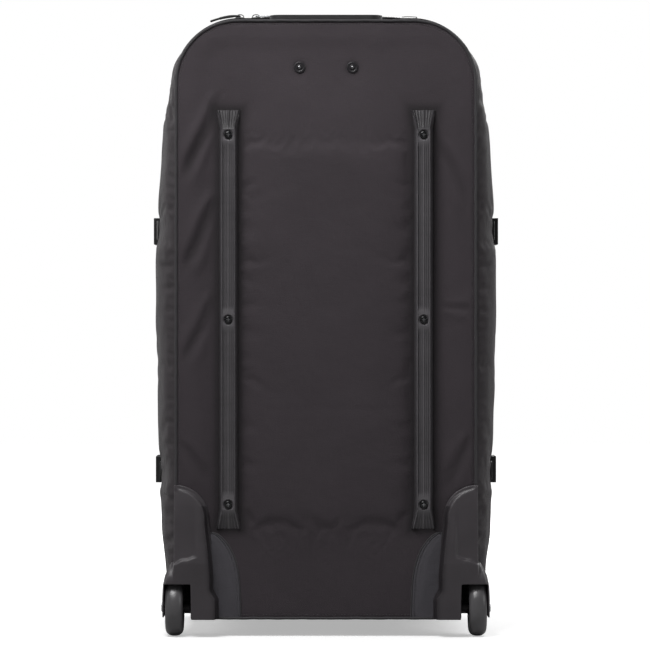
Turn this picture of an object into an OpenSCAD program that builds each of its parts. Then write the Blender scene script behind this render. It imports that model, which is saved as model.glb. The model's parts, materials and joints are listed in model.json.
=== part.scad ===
// Wheeled gear bag: an upright two-wheel roller bag that opens like a clamshell from a
// fabric hinge along its base, with a two-stage pull handle behind the back panel.
// Millimetres. +X is right when looking at the skid side, +Y points to the front, +Z is up.
// The origin is on the ground under the middle of the bag.

/* [Body] */
// Width of the back panel between its side seams
panel_w = 400; // [360:1:440]
// Height of the back panel's top seam above the ground
panel_top = 821; // [780:1:860]
// Radius of the back panel's top corners
panel_r = 83; // [60:1:110]
// Height of the bag's underside above the ground
base_z = 24; // [16:1:32]
// Depth of the rear shell, from the back panel to the main zip
rear_depth = 140; // [110:1:170]
// Depth of the front shell, from the main zip to the front panel
front_depth = 210; // [160:1:250]
// Width of the gusset at its widest, at the main zip
crest_w = 454; // [430:1:480]
// Height of the top of the gusset at the main zip
crest_top = 835; // [800:1:870]
// Radius of the main zip's top corners
crest_r = 90; // [70:1:110]
// Height at which the sides bulge the most
bulge_z = 450; // [350:1:550]
// Radius of the sideways bow of the gusset above its widest point
side_bow_r = 3000; // [1500:50:6000]
// Radius of the sideways bow of the gusset below its widest point
low_bow_r = 6500; // [3000:50:9000]
// Radius of the lower corners at the main zip
crest_low_r = 60; // [40:1:80]
// Radius of the lower corners of the front panel
front_low_r = 55; // [20:1:80]
// Thickness of the padded gusset and panels
fabric_t = 3; // [2:0.1:4]

/* [Main zip] */
// Width of one zip tape
tape_w = 10; // [8:0.5:14]
// Thickness of the zip tape
tape_t = 1.4; // [1:0.1:2]
// Height above the ground at which the main zip ends on each side
zip_low = 110; // [90:1:160]
// Gap between the two closed halves of the zip
zip_gap = 0.3; // [0.2:0.05:0.5]
// Length of a zip slider
slider_l = 18; // [14:1:22]
// Width of a zip slider
slider_w = 11; // [9:0.5:13]
// Length of a zip pull
pull_l = 36; // [25:1:45]

/* [Wheels] */
// Wheel diameter
wheel_d = 76; // [68:1:84]
// Wheel width
wheel_w = 24; // [22:1:28]
// Distance between the middles of the two wheels
track = 404; // [380:1:420]
// How far the wheels stand out behind the back panel
wheel_proud = 28; // [20:1:34]
// Bore of the wheel bearings
bearing_bore = 8; // [6:1:10]
// Outside diameter of the wheel bearings
bearing_d = 22; // [19:1:26]
// Width of one wheel bearing
bearing_w = 7; // [5:1:8]
// Radial running clearance on shafts
run_gap = 0.05; // [0.01:0.01:0.1]

/* [Skid rails] */
// Distance of each rail from the middle
rail_x = 130; // [110:1:145]
// Height of a rail's lower end
rail_low = 143.5; // [120:0.5:170]
// Length of a rail
rail_l = 558; // [480:1:620]
// Width of a rail at its base
rail_w = 32; // [26:1:38]
// Width of the flat top of a rail
rail_top_w = 18.5; // [14:0.5:24]
// Height of a rail
rail_h = 13; // [9:0.5:16]
// Distance between rail screws
screw_pitch = 246; // [200:1:260]
// Height of the lowest rail screw
screw_low = 176; // [165:1:200]
// Head diameter of a rail screw
screw_head_d = 10.7; // [8:0.1:12]

/* [Pull handle] */
// Distance between the two handle tubes
tube_gap = 110; // [90:1:130]
// Outside diameter of the outer tubes
tube_d = 20; // [18:0.5:24]
// Travel of each telescoping stage
stage_travel = 150; // [120:5:180]
// Distance between the two visible rivets
rivet_gap = 70.6; // [50:0.1:90]
// Height of the visible rivets
rivet_z = 758.4; // [740:0.1:775]
// Travel of the grip button
button_travel = 5; // [3:0.5:6]

/* [Straps and buckles] */
// Height of the upper side buckles
buckle_high = 543; // [500:1:600]
// Height of the lower side buckles
buckle_low = 218; // [200:1:260]
// Webbing width
webbing_w = 25; // [20:1:30]
// Buckle width across the webbing
buckle_w = 36; // [30:1:42]
// Buckle thickness
buckle_t = 7.6; // [6:0.2:9]
// Width of the carrying handle on top
grab_w = 192; // [150:1:220]

/* [Front pocket] */
// Pocket width
pocket_w = 330; // [260:1:350]
// Height of the pocket's lower edge
pocket_low = 130; // [100:1:200]
// Pocket height
pocket_h = 510; // [300:1:540]
// How far the pocket stands out
pocket_t = 12; // [8:1:20]

/* [Output] */
// Which sub-part to draw

/* [Hidden] */

eps = 0.02;
depth = wheel_proud + rear_depth + front_depth + pocket_t;
back_y = wheel_proud - depth / 2;
zip_y = back_y + rear_depth;
front_y = zip_y + front_depth;
crest_arc_x = 118;
crest_arc_z = crest_top - crest_r;
skin = 0.05;

// where the outline has bulged how far from the seam (0) to the crest (1), by depth
REAR_BULGE = [[back_y, 0], [back_y + 6, 0.32], [back_y + 19, 0.62], [back_y + 49, 0.9],
              [zip_y - tape_w, 1]];
FRONT_BULGE = [[zip_y + tape_w, 1], [zip_y + 87, 0.95], [zip_y + 157, 0.8],
               [front_y - 15, 0.4], [front_y, 0]];
SIDE_HEIGHTS = [200, 320, 450, 580, 680];

wheel_r = wheel_d / 2;
wheel_x = track / 2;
wheel_y = back_y - wheel_proud + wheel_r;
axle_r = bearing_bore / 2 - run_gap;
well_r = wheel_r + 3.5;
fender_in = 172;
well_in = 180;
well_out = 215;
housing_back = back_y - 3;
housing_front = back_y + 69;

tube_x = tube_gap / 2;
tube_y = back_y + 19;
tube_r = tube_d / 2;
mid_r = tube_r - 1.35;
inner_r = mid_r - 1.4;
bezel_floor = 808;
grip_low = 812;
grip_top = 827;
pin_z = 96;

board_y = back_y + 3.1;
board_t = 2.5;

pocket_zip_z = pocket_low + pocket_h + 11;
pocket_zip_y = front_y + 2.9;

function mix(a, b, f) = a + (b - a) * f;
function crest_x(z) = crest_w / 2 - pow(z - bulge_z, 2) / (2 * (z > bulge_z ? side_bow_r : low_bow_r));
function gusset_x(z, f) = mix(panel_w / 2, crest_x(z), f);
function buckle_x(z) = crest_x(z) + 1.9;

// ---- shared outlines ----

module at_y(y, t) translate([0, y + t, 0]) rotate([90, 0, 0]) linear_extrude(t) children();

module along_x(x0, x1) translate([x0, 0, 0]) rotate([90, 0, 90]) linear_extrude(x1 - x0) children();

module both_sides() { children(); mirror([1, 0, 0]) children(); }

module outline(f, inset = 0, seam_low_r = 20) {
    arc_r = mix(panel_r, crest_r, f);
    low_r = mix(seam_low_r, crest_low_r, f);
    hull() for (s = [-1, 1]) {
        translate([s * mix(panel_w / 2 - panel_r, crest_arc_x, f),
                   mix(panel_top, crest_top, f) - arc_r]) circle(arc_r - inset, $fn = 72);
        for (z = SIDE_HEIGHTS)
            translate([s * (gusset_x(z, f) - 18), z]) circle(18 - inset, $fn = 36);
        translate([s * (mix(panel_w / 2, crest_x(base_z + crest_low_r), f) - low_r), base_z + low_r])
            circle(low_r - inset, $fn = 48);
    }
}

module loft(stations, inset, over, seam_low_r = 20) {
    n = len(stations) - 1;
    for (i = [0 : n - 1]) {
        y0 = stations[i][0] - (i == 0 ? over : 0);
        y1 = stations[i + 1][0] + (i == n - 1 ? over : 0);
        hull() {
            at_y(y0, 0.01) outline(stations[i][1], inset, seam_low_r);
            at_y(y1 - 0.01, 0.01) outline(stations[i + 1][1], inset, seam_low_r);
        }
    }
}

module stadium(x, r, z0, z1) {
    for (s = [-1, 1]) translate([s * x, tube_y, z0]) cylinder(r = r, h = z1 - z0, $fn = 64);
    translate([-x, tube_y - r, z0]) cube([2 * x, 2 * r, z1 - z0]);
}

module below_zip() translate([-300, -300, 0]) cube([600, 600, zip_low - skin]);

module above_zip() translate([-300, -300, zip_low]) cube([600, 600, 900]);

module each_rail_screw()
    for (s = [-1, 1], i = [0 : 2])
        translate([s * rail_x, back_y, screw_low + i * screw_pitch]) rotate([90, 0, 0]) children();

module each_rivet()
    for (s = [-1, 1]) translate([s * rivet_gap / 2, back_y, rivet_z]) rotate([90, 0, 0]) children();

module each_buckle()
    for (s = [0, 1], z = [buckle_low, buckle_high]) mirror([s, 0, 0]) translate([0, 0, z]) children();

// ---- housing outline on the back panel, right-hand side ----

module housing_face(grow = 0) {
    hull() {
        translate([201, 157]) circle(45 + grow, $fn = 72);
        translate([150 - grow, 64]) square([52, 20]);
    }
    translate([0, base_z - 0.6 - grow]) polygon([
        [142.6 - grow, 0], [142.6 - grow, 26 + grow], [150 - grow, 41 + grow], [204, 41], [204, 0]]);
}

module housing_face_cut(grow = 0) intersection() {
    housing_face(grow);
    translate([140 - grow, 0]) square([62.5, 260]);
}

module housing_space() {
    translate([0, back_y + 74, 0]) rotate([90, 0, 0]) linear_extrude(100)
        intersection() { housing_face(0.4); translate([130, 0]) square([73.2, 300]); }
    along_x(171.4, 219) fender_side(0.6);
}

// ---- rear shell: soft goods ----

module rear_gusset() color("dimgray") difference() {
    union() {
        difference() { loft(REAR_BULGE, 0, 0); loft(REAR_BULGE, fabric_t, 1); }
        intersection() {
            at_y(zip_y - tape_w, tape_w - zip_gap)
                difference() { outline(1); outline(1, fabric_t); }
            below_zip();
        }
    }
    both_sides() housing_space();
    stadium(60, 15.8, 700, 900);
}

module back_panel() color("dimgray") difference() {
    at_y(back_y, fabric_t - 0.2) difference() {
        outline(0, fabric_t + skin);
        for (s = [0, 1]) mirror([s, 0]) housing_face(0.3);
    }
    each_rail_screw() cylinder(r = 2.6, h = 20, center = true, $fn = 32);
    each_rivet() cylinder(r = 2.6, h = 20, center = true, $fn = 32);
}

module back_piping() color("black") difference() {
    union() {
        at_y(back_y - 3, 3 - eps) difference() { outline(0, -0.6); outline(0, 2.4); }
        at_y(back_y - 4, 1) difference() { outline(0, 0); outline(0, 1.8); }
    }
    both_sides() housing_space();
}

module patch_shape() difference() {
    hull() {
        translate([150, 129]) circle(8, $fn = 32);
        translate([139.5, 92]) circle(22, $fn = 48);
        translate([114, base_z + 3.2]) square([36, 14]);
    }
    housing_face(0.8);
    translate([151.5, 0]) square([60, 300]);
}

module corner_patch_right() color("slategray") at_y(back_y - 1.5, 1.5) patch_shape();

module corner_patch_left() mirror([1, 0, 0]) corner_patch_right();

module hinge_fabric() color("black")
    translate([-140, zip_y - 25, base_z + fabric_t + 0.1]) cube([280, 24.7, 1.4]);

module top_grab_handle() color("black") translate([8, back_y + 92, 0]) {
    span = grab_w / 2;
    steps = 8;
    for (i = [-steps : steps - 1]) hull() for (j = [i, i + 1])
        translate([j * span / steps - 0.5, -14, crest_top + 0.1 + 3.4 * (1 - pow(j / steps, 4))])
            cube([1, 28, abs(j) >= steps - 1 ? 1.4 : 2.2]);
}

module loop_tab() color("black")
    translate([104, zip_y - 34, crest_top + 0.1]) cube([20, 14, 2.8]);

// ---- rear shell: stiffening and base ----

module frame_board() color("white") difference() {
    at_y(board_y, board_t) union() {
        hull() for (s = [-1, 1]) {
            translate([s * 122, 725]) circle(60, $fn = 64);
            translate([s * 150, 212]) square([64, 2], center = true);
        }
        translate([-138, 40]) square([276, 173]);
    }
    each_rail_screw() cylinder(r = 2.6, h = 30, center = true, $fn = 32);
    each_rivet() cylinder(r = 2.6, h = 30, center = true, $fn = 32);
}

module base_board() color("white")
    translate([-136, back_y + 6, base_z + fabric_t + 0.2]) cube([272, 105, board_t]);

// ---- wheel housings and wheels ----

// rounded cover over the wheel: a side profile, drawn in towards its outer face by a dome
module fender_side(grow = 0) hull() {
    translate([wheel_y - 5, wheel_r + 33]) circle(28 + grow, $fn = 48);
    translate([wheel_y + 22, wheel_r + 24]) circle(35 + grow, $fn = 48);
    translate([wheel_y - 27 - grow, base_z + 2 - grow]) square([84 + 2 * grow, 3]);
}

module fender() intersection() {
    along_x(fender_in, 217.6) fender_side();
    translate([0, wheel_y, wheel_r]) rotate([0, 90, 0]) rotate_extrude($fn = 128)
        polygon([[0, 160], [66, 160], [66, 203], [52, 211], [43, 215], [31, 217.6], [0, 217.6]]);
}

module well() {
    translate([well_in, wheel_y, wheel_r]) rotate([0, 90, 0]) {
        cylinder(r = well_r, h = 29, $fn = 96);
        translate([0, 0, 29]) cylinder(r1 = well_r, r2 = well_r - 5, h = well_out - well_in - 29, $fn = 96);
    }
    translate([well_in, wheel_y - well_r, -20]) cube([29, 2 * well_r, 20 + wheel_r]);
    translate([well_in, wheel_y - well_r + 5, -20])
        cube([well_out - well_in, 2 * well_r - 10, 20 + wheel_r]);
    translate([well_in, wheel_y - 60, -20]) cube([well_out - well_in, 60, 90.5]);
}

module wheel_housing_right() color("darkslategray") difference() {
    union() {
        // flange that carries the back panel's lower corner, with its raised rim
        difference() {
            at_y(housing_back, 3) housing_face_cut();
            well();
        }
        at_y(housing_back - 2.2, 2.2) difference() {
            housing_face_cut();
            translate([4.2, -4.2]) housing_face();
            square([190, base_z + 1]);
            translate([140, 0]) square([34, 62]);
        }
        // side and floor walls that turn forward from the flange
        translate([199.4, back_y, 90]) cube([3, 52, 84]);
        translate([143.2, housing_back, base_z - 0.6]) cube([well_in - 143.2, 62, 2.8]);
        // wheel well and hood
        fender();
    }
    difference() {
        well();
        translate([well_in - 1, wheel_y, wheel_r]) rotate([0, 90, 0])
            cylinder(r = 6.5, h = wheel_x - bearing_w - 3.5 - 0.3 - well_in + 1, $fn = 48);
        translate([wheel_x + bearing_w + 3.5 + 0.3, wheel_y, wheel_r]) rotate([0, 90, 0])
            cylinder(r = 6.5, h = 5, $fn = 48);
    }
    translate([160, wheel_y, wheel_r]) rotate([0, 90, 0])
        cylinder(r = bearing_bore / 2, h = 70, $fn = 48);
}

module wheel_housing_left() mirror([1, 0, 0]) wheel_housing_right();

module on_wheel() translate([wheel_x, wheel_y, wheel_r]) rotate([0, 90, 0]) children();

module axle_right() color("silver") on_wheel() {
    translate([0, 0, -39]) cylinder(r = axle_r, h = 39 + 17, $fn = 48);
    translate([0, 0, 217.7 - wheel_x]) difference() {
        cylinder(r1 = 7, r2 = 5.6, h = 2.2, $fn = 48);
        translate([0, 0, 1]) cylinder(r = 2.6, h = 2, $fn = 6);
    }
}

module axle_left() mirror([1, 0, 0]) axle_right();

module axle_nuts() color("silver") both_sides() on_wheel()
    translate([0, 0, fender_in - 6.9 - skin - wheel_x]) difference() {
        cylinder(r = 7, h = 6.9, $fn = 6);
        translate([0, 0, -1]) cylinder(r = bearing_bore / 2, h = 9, $fn = 48);
    }

module tyre_right() color("gray") on_wheel() rotate_extrude($fn = 96) {
    half = wheel_w / 2;
    translate([27, -half]) square([5, wheel_w]);
    intersection() {
        for (s = [-1, 1]) translate([32, s * (half - 6)]) circle(6, $fn = 48);
        translate([27, -half]) square([20, wheel_w]);
    }
    translate([32, 6 - half]) square([wheel_r - 32, wheel_w - 12]);
}

module tyre_left() mirror([1, 0, 0]) tyre_right();

module hub_right() color("black") on_wheel() difference() {
    union() {
        rotate_extrude($fn = 96) {
            translate([23, -11]) square([27 - skin - 23, 22]);
            translate([bearing_d / 2 + skin, -11]) square([3.2, 22]);
        }
        difference() {
            translate([0, 0, -3]) cylinder(r = 24, h = 6, $fn = 96);
            translate([0, 0, -4]) cylinder(r = bearing_d / 2 + skin + 1, h = 8, $fn = 64);
        }
    }
    for (i = [0 : 4]) rotate(i * 72) translate([18.7, 0, -5]) cylinder(r = 3.8, h = 10, $fn = 48);
}

module hub_left() mirror([1, 0, 0]) hub_right();

module bearings_right() color("silver") on_wheel() {
    for (s = [0, 1]) mirror([0, 0, s]) translate([0, 0, 3.5]) difference() {
        cylinder(r = bearing_d / 2, h = bearing_w, $fn = 64);
        translate([0, 0, -1]) cylinder(r = bearing_bore / 2, h = bearing_w + 2, $fn = 64);
    }
    translate([0, 0, -3.45]) difference() {
        cylinder(r = 5.6, h = 6.9, $fn = 48);
        translate([0, 0, -1]) cylinder(r = bearing_bore / 2, h = 9, $fn = 48);
    }
}

module bearings_left() mirror([1, 0, 0]) bearings_right();

// ---- skid rails ----

module rail_profile() difference() {
    polygon([[-rail_w / 2, 0], [rail_w / 2, 0], [rail_w / 2, -2], [rail_top_w / 2 + 1.2, 1.2 - rail_h],
             [rail_top_w / 2, -rail_h], [-rail_top_w / 2, -rail_h],
             [-rail_top_w / 2 - 1.2, 1.2 - rail_h], [-rail_w / 2, -2]]);
    for (s = [-1, 1]) translate([s * 3.3, -rail_h]) square([1.8, 2.4], center = true);
}

module rail_end_profile(w, h) polygon([[-rail_w / 2, 0], [rail_w / 2, 0], [rail_w / 2, -2],
    [w / 2, -h], [-w / 2, -h], [-rail_w / 2, -2]]);

module skid_rail_right() color("dimgray") translate([rail_x, back_y, rail_low]) {
    ramp = 23;
    difference() {
        union() {
            translate([0, 0, ramp]) linear_extrude(rail_l - 2 * ramp) rail_profile();
            for (end = [0, 1]) translate([0, 0, end * rail_l]) mirror([0, 0, end]) hull() {
                linear_extrude(0.1) rail_end_profile(31, 2.2);
                translate([0, 0, ramp - 0.1]) linear_extrude(0.1) rail_end_profile(rail_top_w, rail_h);
            }
        }
        for (i = [0 : 2]) translate([0, 0, screw_low + i * screw_pitch - rail_low]) rotate([90, 0, 0]) {
            translate([0, 0, -1]) cylinder(r = 2.6, h = 20, $fn = 32);
            translate([0, 0, rail_h - 2.6]) cylinder(r = screw_head_d / 2 + 0.35, h = 6, $fn = 48);
        }
    }
}

module skid_rail_left() mirror([1, 0, 0]) skid_rail_right();

module rail_screws() color("black") each_rail_screw() difference() {
    union() {
        translate([0, 0, rail_h - 2.55]) cylinder(r = screw_head_d / 2, h = 1.6, $fn = 48);
        translate([0, 0, rail_h - 0.95])
            cylinder(r1 = screw_head_d / 2, r2 = screw_head_d / 2 - 1.6, h = 1.2, $fn = 48);
        translate([0, 0, -10]) cylinder(r = 2.4, h = rail_h + 8, $fn = 32);
    }
    for (a = [0, 90]) rotate(a) translate([-2.6, -0.6, rail_h - 1.1]) cube([5.2, 1.2, 3]);
}

module rail_nuts() color("silver") each_rail_screw() translate([0, 0, -9.4]) difference() {
    cylinder(r = 6, h = 3.5, $fn = 6);
    translate([0, 0, -1]) cylinder(r = 2.45, h = 6, $fn = 32);
}

// ---- pull handle ----

module handle_rivets() color("silver") each_rivet() {
    translate([0, 0, -9.6]) cylinder(r = 4.4, h = 1.2, $fn = 48);
    translate([0, 0, -9]) cylinder(r = 2.5, h = 11, $fn = 32);
    cylinder(r = 7.75, h = 1.4, $fn = 64);
    translate([0, 0, 1.4]) cylinder(r1 = 4, r2 = 2.4, h = 2, $fn = 48);
}

module handle_brace() color("dimgray") difference() {
    union() {
        translate([-73, board_y + board_t + skin, rivet_z - 17]) cube([146, 2.6, 34]);
        for (s = [-1, 1]) translate([s * tube_x, tube_y, rivet_z - 17])
            cylinder(r = tube_r + 2.4, h = 34, $fn = 64);
    }
    for (s = [-1, 1]) translate([s * tube_x, tube_y, rivet_z - 18])
        cylinder(r = tube_r + skin, h = 36, $fn = 64);
    translate([-80, back_y - 5, rivet_z - 20]) cube([160, 5 + board_y + board_t - back_y + skin, 40]);
    each_rivet() cylinder(r = 2.6, h = 40, center = true, $fn = 32);
}

module handle_outer_tubes() color("silver") for (s = [-1, 1])
    translate([s * tube_x, tube_y, 40]) difference() {
        cylinder(r = tube_r, h = bezel_floor - 48, $fn = 64);
        translate([0, 0, -1]) cylinder(r = mid_r + 0.2, h = bezel_floor, $fn = 64);
    }

module handle_bezel() color("black") difference() {
    union() {
        stadium(60, 15.5, bezel_floor - 8, 829);
        for (s = [-1, 1]) translate([s * tube_x, tube_y, bezel_floor - 26])
            cylinder(r = tube_r + 2, h = 20, $fn = 64);
    }
    stadium(60, 12.5, bezel_floor, 900);
    for (s = [-1, 1]) translate([s * tube_x, tube_y, 0]) {
        cylinder(r = mid_r + run_gap, h = 900, $fn = 64);
        cylinder(r = tube_r + skin, h = bezel_floor - 8 + eps, $fn = 64);
    }
}

module handle_foot() color("black") difference() {
    translate([-72, tube_y - 12.8, base_z + 6]) cube([144, 26, 19]);
    for (s = [-1, 1]) translate([s * tube_x, tube_y, 40 - eps])
        cylinder(r = tube_r + skin, h = 40, $fn = 64);
}

module handle_middle_tubes() color("silver") for (s = [-1, 1])
    translate([s * tube_x, tube_y, 0]) difference() {
        union() {
            translate([0, 0, 72]) cylinder(r = mid_r, h = bezel_floor + 1 - 72, $fn = 64);
            translate([0, 0, bezel_floor + skin]) cylinder(r = 10.4, h = 3.5, $fn = 64);
        }
        translate([0, 0, 71]) cylinder(r = inner_r + 0.2, h = bezel_floor - 75, $fn = 64);
        translate([0, 0, 71]) cylinder(r = inner_r + run_gap, h = 900, $fn = 64);
    }

module handle_inner_tubes() color("silver") for (s = [-1, 1])
    translate([s * tube_x, tube_y, 84]) difference() {
        cylinder(r = inner_r, h = 731, $fn = 64);
        translate([0, 0, -1]) cylinder(r = inner_r - 1.2, h = 740, $fn = 64);
        translate([0, 0, pin_z - 84]) rotate([0, s * 90, 0]) cylinder(r = 2.45, h = 12, $fn = 32);
    }

module handle_grip() color("black") difference() {
    stadium(60, 11, grip_low, grip_top);
    for (s = [-1, 1]) translate([s * tube_x, tube_y, 800])
        cylinder(r = inner_r + eps, h = 15 + eps, $fn = 64);
    translate([-59, tube_y - 3.6, 814.9]) cube([118, 7.2, 9.4]);
    translate([-18.3, tube_y - 5.8, 814.9]) cube([36.6, 11.6, 20]);
}

module grip_button() color("dimgray") {
    translate([-18, tube_y - 5.5, 823.4]) cube([36, 11, 4.6]);
    translate([-58, tube_y - 3, 821]) cube([116, 6, 2.5]);
}

module push_rods() color("silver") for (s = [-1, 1])
    translate([s * tube_x, tube_y, 104.5]) cylinder(r = 2.8, h = 821 - 104.5 - eps, $fn = 32);

module lock_pin_right() color("silver") translate([tube_x + 3.4, tube_y, pin_z]) rotate([0, 90, 0])
    cylinder(r = 2.4, h = inner_r - 3.7, $fn = 32);

module lock_pin_left() mirror([1, 0, 0]) lock_pin_right();

// ---- main zip ----

module zip_half(y0, bead_y) intersection() {
    union() {
        at_y(y0, tape_w - zip_gap) difference() { outline(1, 0.5); outline(1, 0.5 + tape_t); }
        at_y(bead_y, 2.6) difference() { outline(1, -0.8); outline(1, 0.5 + tape_t + 0.8); }
    }
    above_zip();
}

module zip_rear() color("black") zip_half(zip_y - tape_w + eps, zip_y - zip_gap - 2.6 + eps);

module zip_front() color("black") zip_half(zip_y + zip_gap - eps, zip_y + zip_gap - eps);

module slider_body() {
    difference() {
        translate([-slider_l / 2, -slider_w / 2, 0]) cube([slider_l, slider_w, 1.7]);
        for (s = [-1, 1]) translate([slider_l / 2, s * slider_w / 2, -1]) rotate(s * 45)
            cube([5, 5, 6], center = true);
    }
    difference() {
        translate([-5, -1.2, 0]) cube([10, 2.4, 5.4]);
        translate([-3.2, -2, 1.7]) cube([6.4, 4, 2.5]);
    }
}

// lies toward -X from the bridge of its slider, and turns about the crossbar
module pull_body() translate([0, 0, 2.95]) {
    rotate([90, 0, 0]) cylinder(r = 1, h = 7.2, center = true, $fn = 32);
    for (s = [-1, 1]) translate([-11, s * 2.7 - 0.9, -0.8]) cube([11, 1.8, 1.6]);
    translate([-pull_l, -4.2, -0.8]) difference() {
        cube([pull_l - 10, 8.4, 1.6]);
        translate([5, 4.2, -1]) cylinder(r = 2, h = 4, $fn = 32);
    }
}

module on_arc_top() translate([-crest_arc_x, zip_y, crest_top + 1.1]) children();

module zip_slider_a() color("black") on_arc_top() slider_body();

module zip_pull_a() color("black") on_arc_top() pull_body();

module zip_slider_b() color("black") on_arc_top() translate([slider_l + 4, 0, 0])
    mirror([1, 0, 0]) slider_body();

module zip_pull_b() color("gray") on_arc_top() translate([slider_l + 4, 0, 0])
    mirror([1, 0, 0]) pull_body();

// ---- side straps and buckles ----

module strap_run(ys, bulge, z) for (i = [0 : len(ys) - 2]) hull() for (y = [ys[i], ys[i + 1]])
    translate([gusset_x(z, lookup(y, bulge)) + 0.35, y - 0.05, -webbing_w / 2])
        cube([1.1, 0.1, webbing_w]);

module rear_straps() color("black")
    for (s = [0, 1], z = [buckle_low, buckle_high]) mirror([s, 0, 0]) translate([0, 0, z])
        strap_run([back_y + 50, back_y + 85, zip_y - tape_w - 1], REAR_BULGE, z);

module front_straps() color("black")
    for (s = [0, 1], z = [buckle_low, buckle_high]) mirror([s, 0, 0]) translate([0, 0, z])
        strap_run([zip_y + tape_w + 1, zip_y + 50, zip_y + 87, zip_y + 125], FRONT_BULGE, z);

module socket(z) translate([buckle_x(z), zip_y - 31, -buckle_w / 2]) difference() {
    cube([buckle_t, 30, buckle_w]);
    translate([1.6, 6, 3.4]) cube([buckle_t - 3.2, 40, buckle_w - 6.8]);
    translate([1.6, 9, -1]) cube([buckle_t - 3.2, 11, buckle_w + 2]);
    translate([-1, 1.8, 5]) cube([buckle_t + 2, 2.6, buckle_w - 10]);
}

module buckle_sockets() color("black")
    for (s = [0, 1], z = [buckle_low, buckle_high]) mirror([s, 0, 0]) translate([0, 0, z]) socket(z);

module plug(z) translate([buckle_x(z), zip_y - 0.6, 0]) {
    difference() {
        translate([0, 0, -buckle_w / 2]) cube([buckle_t, 23, buckle_w]);
        for (y = [8, 15]) translate([-1, y, -13]) cube([buckle_t + 2, 3.4, 26]);
    }
    for (s = [-1, 1]) translate([2.3, -20, s * 10.4 - 2]) cube([buckle_t - 4.6, 20.5, 4]);
    translate([2.3, -16, -1.5]) cube([buckle_t - 4.6, 16.5, 3]);
}

module buckle_plug_upper_right() color("black") translate([0, 0, buckle_high]) plug(buckle_high);

module buckle_plug_upper_left() mirror([1, 0, 0]) buckle_plug_upper_right();

module buckle_plug_lower_right() color("black") translate([0, 0, buckle_low]) plug(buckle_low);

module buckle_plug_lower_left() mirror([1, 0, 0]) buckle_plug_lower_right();

// ---- front shell ----

module front_gusset() color("dimgray") difference() {
    union() {
        difference() {
            loft(FRONT_BULGE, 0, 0, front_low_r);
            loft(FRONT_BULGE, fabric_t, 1, front_low_r);
        }
        intersection() {
            at_y(zip_y + zip_gap, tape_w - zip_gap)
                difference() { outline(1); outline(1, fabric_t); }
            below_zip();
        }
    }
    for (s = [-1, 1]) translate([s * 150, front_y - 22, 0]) cylinder(r = 2.6, h = 60, $fn = 32);
}

module front_panel() color("dimgray")
    at_y(front_y - fabric_t + 0.2, fabric_t - 0.2) outline(0, fabric_t + skin, front_low_r);

module front_piping() color("black") {
    at_y(front_y + eps, 3 - eps) difference() {
        outline(0, -0.6, front_low_r);
        outline(0, 2.4, front_low_r);
    }
    at_y(front_y + 3, 1) difference() { outline(0, 0, front_low_r); outline(0, 1.8, front_low_r); }
}

module front_feet() color("black") for (s = [-1, 1]) translate([s * 150, front_y - 22, 0]) difference() {
    hull() for (t = [-1, 1]) translate([t * 14, 0, 0]) {
        cylinder(r1 = 10, r2 = 12, h = 4, $fn = 48);
        cylinder(r = 12, h = base_z, $fn = 48);
    }
    translate([0, 0, 9]) cylinder(r = 2.5, h = base_z, $fn = 32);
}

module foot_screws() color("silver") for (s = [-1, 1]) translate([s * 150, front_y - 22, 0]) {
    translate([0, 0, 10]) cylinder(r = 2.4, h = base_z + fabric_t - 7.7, $fn = 32);
    translate([0, 0, base_z + fabric_t + 1.3]) cylinder(r1 = 5.4, r2 = 4, h = 2.4, $fn = 48);
}

module rounded_rect(w, h, r) hull() for (x = [r - w / 2, w / 2 - r], z = [r, h - r])
    translate([x, z]) circle(r, $fn = 32);

module front_pocket() color("dimgray") translate([0, 0, pocket_low]) difference() {
    at_y(front_y + eps, pocket_t - eps) rounded_rect(pocket_w, pocket_h, 30);
    at_y(front_y - 1, pocket_t - 1) translate([0, 2.5]) rounded_rect(pocket_w - 5, pocket_h - 5, 27.5);
}

module pocket_zip() color("black") {
    translate([-152, front_y + eps, pocket_zip_z - 9]) cube([304, 1.6, 18]);
    translate([-150, front_y + eps, pocket_zip_z - 1.6]) cube([300, 2.5, 3.2]);
}

module on_pocket_zip() translate([-140, pocket_zip_y, pocket_zip_z]) rotate([-90, 0, 0]) children();

module pocket_slider() color("black") on_pocket_zip() mirror([1, 0, 0]) slider_body();

module pocket_pull() color("black") on_pocket_zip() mirror([1, 0, 0]) pull_body();

// ---- output ----

rear_gusset();
back_panel();
back_piping();
frame_board();
base_board();
hinge_fabric();
corner_patch_left();
corner_patch_right();
wheel_housing_left();
wheel_housing_right();
axle_left();
axle_right();
axle_nuts();
skid_rail_left();
skid_rail_right();
rail_screws();
rail_nuts();
handle_rivets();
handle_brace();
handle_outer_tubes();
handle_bezel();
handle_foot();
handle_middle_tubes();
handle_inner_tubes();
handle_grip();
grip_button();
push_rods();
lock_pin_left();
lock_pin_right();
tyre_left();
hub_left();
bearings_left();
tyre_right();
hub_right();
bearings_right();
zip_rear();
zip_front();
zip_slider_a();
zip_pull_a();
zip_slider_b();
zip_pull_b();
top_grab_handle();
loop_tab();
rear_straps();
front_straps();
buckle_sockets();
buckle_plug_upper_left();
buckle_plug_upper_right();
buckle_plug_lower_left();
buckle_plug_lower_right();
front_gusset();
front_panel();
front_piping();
front_feet();
foot_screws();
front_pocket();
pocket_zip();
pocket_slider();
pocket_pull();
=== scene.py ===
"""Looks of the wheeled gear bag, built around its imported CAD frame.

Lengths are written in millimetres and turned into Blender's metres when a mesh is made.
+X is right when looking at the skid side, +Y points to the front, +Z is up.
"""

import json
import math

import bmesh
import bpy
import numpy as np
from mathutils import Matrix, Vector, noise
from mathutils.bvhtree import BVHTree

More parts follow.
